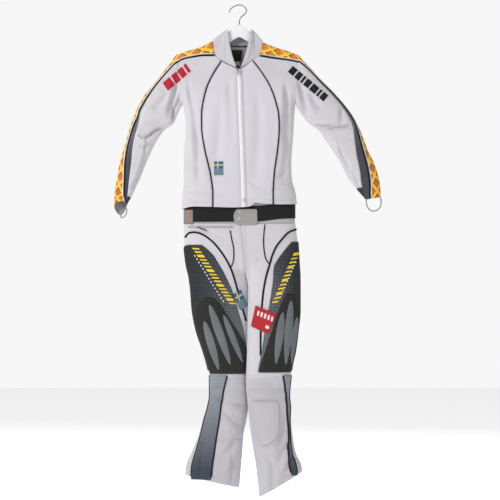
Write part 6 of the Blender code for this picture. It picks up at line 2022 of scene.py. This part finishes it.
pocket_x, pocket_z = np.broadcast_arrays(np.linspace(-0.1620, -0.0200, 90)[None, :], np.linspace(-0.7058, -0.7118, 9)[:, None])
pocket_normals, pocket = leg_place("right", pocket_x, pocket_z)
u, v = arc_lengths(pocket)
pocket_grey = cloth_finish("pocket tape", (0.300, 0.295, 0.310), 0.0009, "twill", 0.00016, 0.05, 0.60)
made = shell("pocket_zip_tape", pocket + pocket_normals * patch_profile(pocket, LEG_LIFT + 0.0010, 0.0004)[..., None],
             pocket_normals, pocket_grey, 0.0008, uv=(u, v), replaces="pocket_zip")
line = (pocket + pocket_normals * 0.0023)[4]
repeat_along("pocket_teeth", [(line[3:-3], pocket_normals[4, 3:-3])], TOOTH_TREE, tooth_white,
             **{"Pitch": 0.0013, "Side step": 0.0004, "Size": (0.0009, 0.0018, 0.0007)})
tab_route = [(-0.1330, -0.0415, -0.7095), (-0.1240, -0.0418, -0.7125), (-0.1150, -0.0418, -0.7168), (-0.1040, -0.0414, -0.7195)]
for point in range(len(tab_route)):
    x, _, z = tab_route[point]
    turn = leg_turn("right", np.array([x]), np.array([z]))
    tab_route[point] = (x, float(leg_points("right", np.array([z]), turn, 1)[0, 1]) - 0.0030, z)
tube("pocket_pull_cord", smooth_route(tab_route, 30), 0.0016, piping_black, 12)
print("zip and pocket zip made")

# %% [markdown]
# ## Stitches
# A flat-locked seam shows a row of short thread bumps beside it. The same tree sets one small oval
# per stitch along each line, a little off it at random, as a machine does on stretchy cloth.

# %% Lines of stitching
thread_light = film_finish("pale thread", (0.560, 0.550, 0.575), 0.60)
thread_dark = film_finish("dark thread", (0.030, 0.031, 0.034), 0.60)
SKIN = 0.00035


def body_line(edge, face, low, high, count=220):
    """A stitched line down the body beside an edge."""
    z = np.linspace(high, low, count)[:, None] + 0.0 * np.ones((1, 3))
    x = edge(z) + np.array((-0.0005, 0.0, 0.0005))[None, :]
    normals, points = fold_body(body_points(x, z, face), face)
    return (points + normals * SKIN)[:, 1], normals[:, 1]


def hem_line(face, rise, count=240):
    x = np.linspace(-0.174, 0.172, count)
    z = read_row(HEM, 1, x) + rise
    grid_x, grid_z = np.stack([x, x], 0), np.stack([z + 0.0005, z - 0.0005], 0)
    normals, points = fold_body(body_points(grid_x, grid_z, face), face)
    return (points + normals * SKIN)[0], normals[0]


def surface_line(place, side, route, count, lift=SKIN):
    """A line of stitches through points of x and height on a leg, a sleeve or the body."""
    line = smooth_route([(x, 0.0, z) for x, z in route], count)
    run = unit(np.gradient(line, axis=0))
    x = line[None, :, 0] + run[None, :, 2] * np.array((-0.0005, 0.0, 0.0005))[:, None]
    z = line[None, :, 2] - run[None, :, 0] * np.array((-0.0005, 0.0, 0.0005))[:, None]
    normals, points = place(side, x, z)
    return (points + normals * lift)[1], normals[1]


def loop_line(place, side, corners, lift, inset=0.90, count=40):
    """A closed line of stitches just inside four corners."""
    middle = np.mean(corners, axis=0)
    ends = [middle + (np.array(corner) - middle) * inset for corner in corners]
    routes = []
    for a, b in zip(ends, ends[1:] + ends[:1]):
        routes.append(surface_line(place, side, [tuple(mix(a, b, s)) for s in (0.0, 0.5, 1.0)], count, lift))
    return routes


def front_place(side, x, z):
    return fold_body(body_points(x, z, 1.0), 1)


routes = [body_line(seam_edge(2, shift), 1, -0.640, -0.212) for shift in (-0.0125, 0.0125)]
for column, sign in ((1, 1.0), (3, -1.0)):
    routes += [body_line(seam_edge(column, shift), 1, -0.632, -0.186) for shift in (-0.0042, 0.0042)]
routes += [hem_line(face, rise) for face in (1, -1) for rise in (0.0115, 0.0140)]

collar_points, _ = collar_grid(40, 168)
collar_normals = grid_normals(collar_points, away)
collar_skin = collar_points + collar_normals * (lines + SKIN)[..., None]
routes.append((collar_skin[36], collar_normals[36]))
for side in ("right", "left"):
    for route in LEG_SEAMS[side]:
        for shift in (-0.0028, 0.0028):
            routes.append(surface_line(leg_place, side, [(x + 0.3 * shift, z + shift) for x, z in route], 60))
    outer_end, inner_end = LEG_HEM[side]
    outer_x, inner_x = (-0.165, -0.010) if side == "right" else (0.195, 0.070)
    for rise in (0.014, 0.017):
        ends = [(mix(outer_x, inner_x, s), mix(outer_end, inner_end, 0.06 + 0.88 * s) + rise) for s in (0, 0.25, 0.5, 0.75, 1)]
        routes.append(surface_line(leg_place, side, ends, 90))
        routes.append(surface_line(lambda s, x, z: fold_leg(s, leg_points(s, z, leg_turn(s, x, z), -1)), side, ends, 90))
routes += loop_line(upper_place, "right", ((-0.262, -0.262), (-0.178, -0.178), (-0.147, -0.209), (-0.233, -0.287)), SKIN, 1.0)
repeat_along("pale_stitches", routes, STITCH_TREE, thread_light,
             **{"Pitch": 0.0036, "Jitter": 0.00012, "Size": (0.0027, 0.0008, 0.0007)})

dark_routes = []
for side in ("right", "left"):
    for table, rows in ((THIGH[side], slice(1, -1)),):
        edge = [(x, z) for z, x in table][rows]
        sign = -1.0 if side == "right" else 1.0
        dark_routes.append(surface_line(leg_place, side, [(x + sign * 0.0030, z - 0.001) for x, z in edge], 260, THIGH_TOP + SKIN))
    table = GUARD[side]
    for column, sign in ((1, 1.0), (2, -1.0)):
        sign = sign if side == "right" else -sign
        edge = [(row[column] + sign * 0.0036, row[0] - (0.003 if i == 0 else 0.0)) for i, row in enumerate(table[:-1])]
        dark_routes.append(surface_line(leg_place, side, edge, 160, GUARD_TOP + 0.0001))
for corners, side, lift in (
        (((-0.020, -0.924), (0.004, -0.909), (0.026, -0.961), (0.002, -0.975)), "right", 0.0045),
        (((0.053, -0.959), (0.119, -0.986), (0.092, -1.049), (0.039, -1.025)), "left", 0.0045)):
    dark_routes += loop_line(leg_place, side, corners, lift, 0.93)
dark_routes += loop_line(front_place, "right", ((-0.0800, -0.5000), (-0.0510, -0.5000), (-0.0510, -0.5440), (-0.0800, -0.5440)),
                         0.0014, 0.92)
repeat_along("dark_stitches", dark_routes, STITCH_TREE, thread_dark,
             **{"Pitch": 0.0034, "Jitter": 0.00010, "Size": (0.0024, 0.0008, 0.0006)})

# %% [markdown]
# ## Hanger
# A flat moulded hanger with a round hump in its middle and a steel wire hook. Its arms lie inside the
# shoulders, so only the hump shows in the neck. A plate with a rounded rim, cut from one outline, is
# nearest to how such a hanger is moulded.

# %% Hanger and hook
hanger_white = Finish("hanger plastic", 0.28, 0.0, specular=0.50, coat=0.25)
grain = hanger_white.noise(160.0, 3.0)
hanger_white.colour(hanger_white.mix(grain, (0.700, 0.700, 0.715), (0.780, 0.780, 0.790)))
hanger_white.link(hanger_white.math("MULTIPLY_ADD", grain, 0.16, 0.20), hanger_white.shader.inputs["Roughness"])
hanger_white.bump(hanger_white.noise(500.0, 2.0), 0.00003)


def under_shoulder(x):
    return float(read_row(SHOULDER, 1, x)) - WALL - 0.0030


tops = [(x, under_shoulder(x)) for x in np.linspace(-0.180, -0.042, 24)]
hump = [(0.0365 * math.cos(a), -0.0960 + 0.0340 * math.sin(a)) for a in np.radians(np.linspace(168, 12, 48))]
left_tops = [(x, under_shoulder(x)) for x in np.linspace(0.042, 0.168, 24)]
under = [(x, z - 0.016 * (0.7 if abs(x) > 0.15 else 1.0)) for x, z in left_tops[::-1] if x > 0.05]
under += [(0.034, -0.1200), (0.017, -0.1095), (0.006, -0.1030), (0.000, -0.1012), (-0.006, -0.1030), (-0.017, -0.1095),
          (-0.034, -0.1200)]
under += [(x, z - 0.016 * (0.7 if abs(x) > 0.15 else 1.0)) for x, z in tops[::-1] if x < -0.05]
body_part = plate("hanger_plate", [tops + hump + left_tops + under], 0.0070, 0.0, hanger_white.material, 0.0022)
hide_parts("hanger_body")
HOOK = ((-0.0320, -0.0215), (-0.0290, -0.0130), (-0.0200, -0.0050), (-0.0090, 0.0000), (0.0010, 0.0016),
        (0.0120, -0.0010), (0.0205, -0.0085), (0.0225, -0.0180), (0.0180, -0.0270), (0.0090, -0.0345),
        (0.0025, -0.0430), (0.0003, -0.0530), (0.0000, -0.0618))
hook = tube("hook_wire", smooth_route([(x, 0.0, z) for x, z in HOOK], 150), 0.0016, dark_steel, 20)
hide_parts("hanger_hook")
turned("hook_ferrule", ((0.0040, 0.0), (0.0044, 0.0006), (0.0040, 0.0016), (0.0030, 0.0030), (0.0022, 0.0042), (0.0017, 0.0046)),
       (0.0, 0.0, -0.0622), (0.0, 0.0, 1.0), nickel)
print("hanger and hook made")

# %% [markdown]
# ## Last update
# The view layer is updated once more.

# %% Update
bpy.context.view_layer.update()
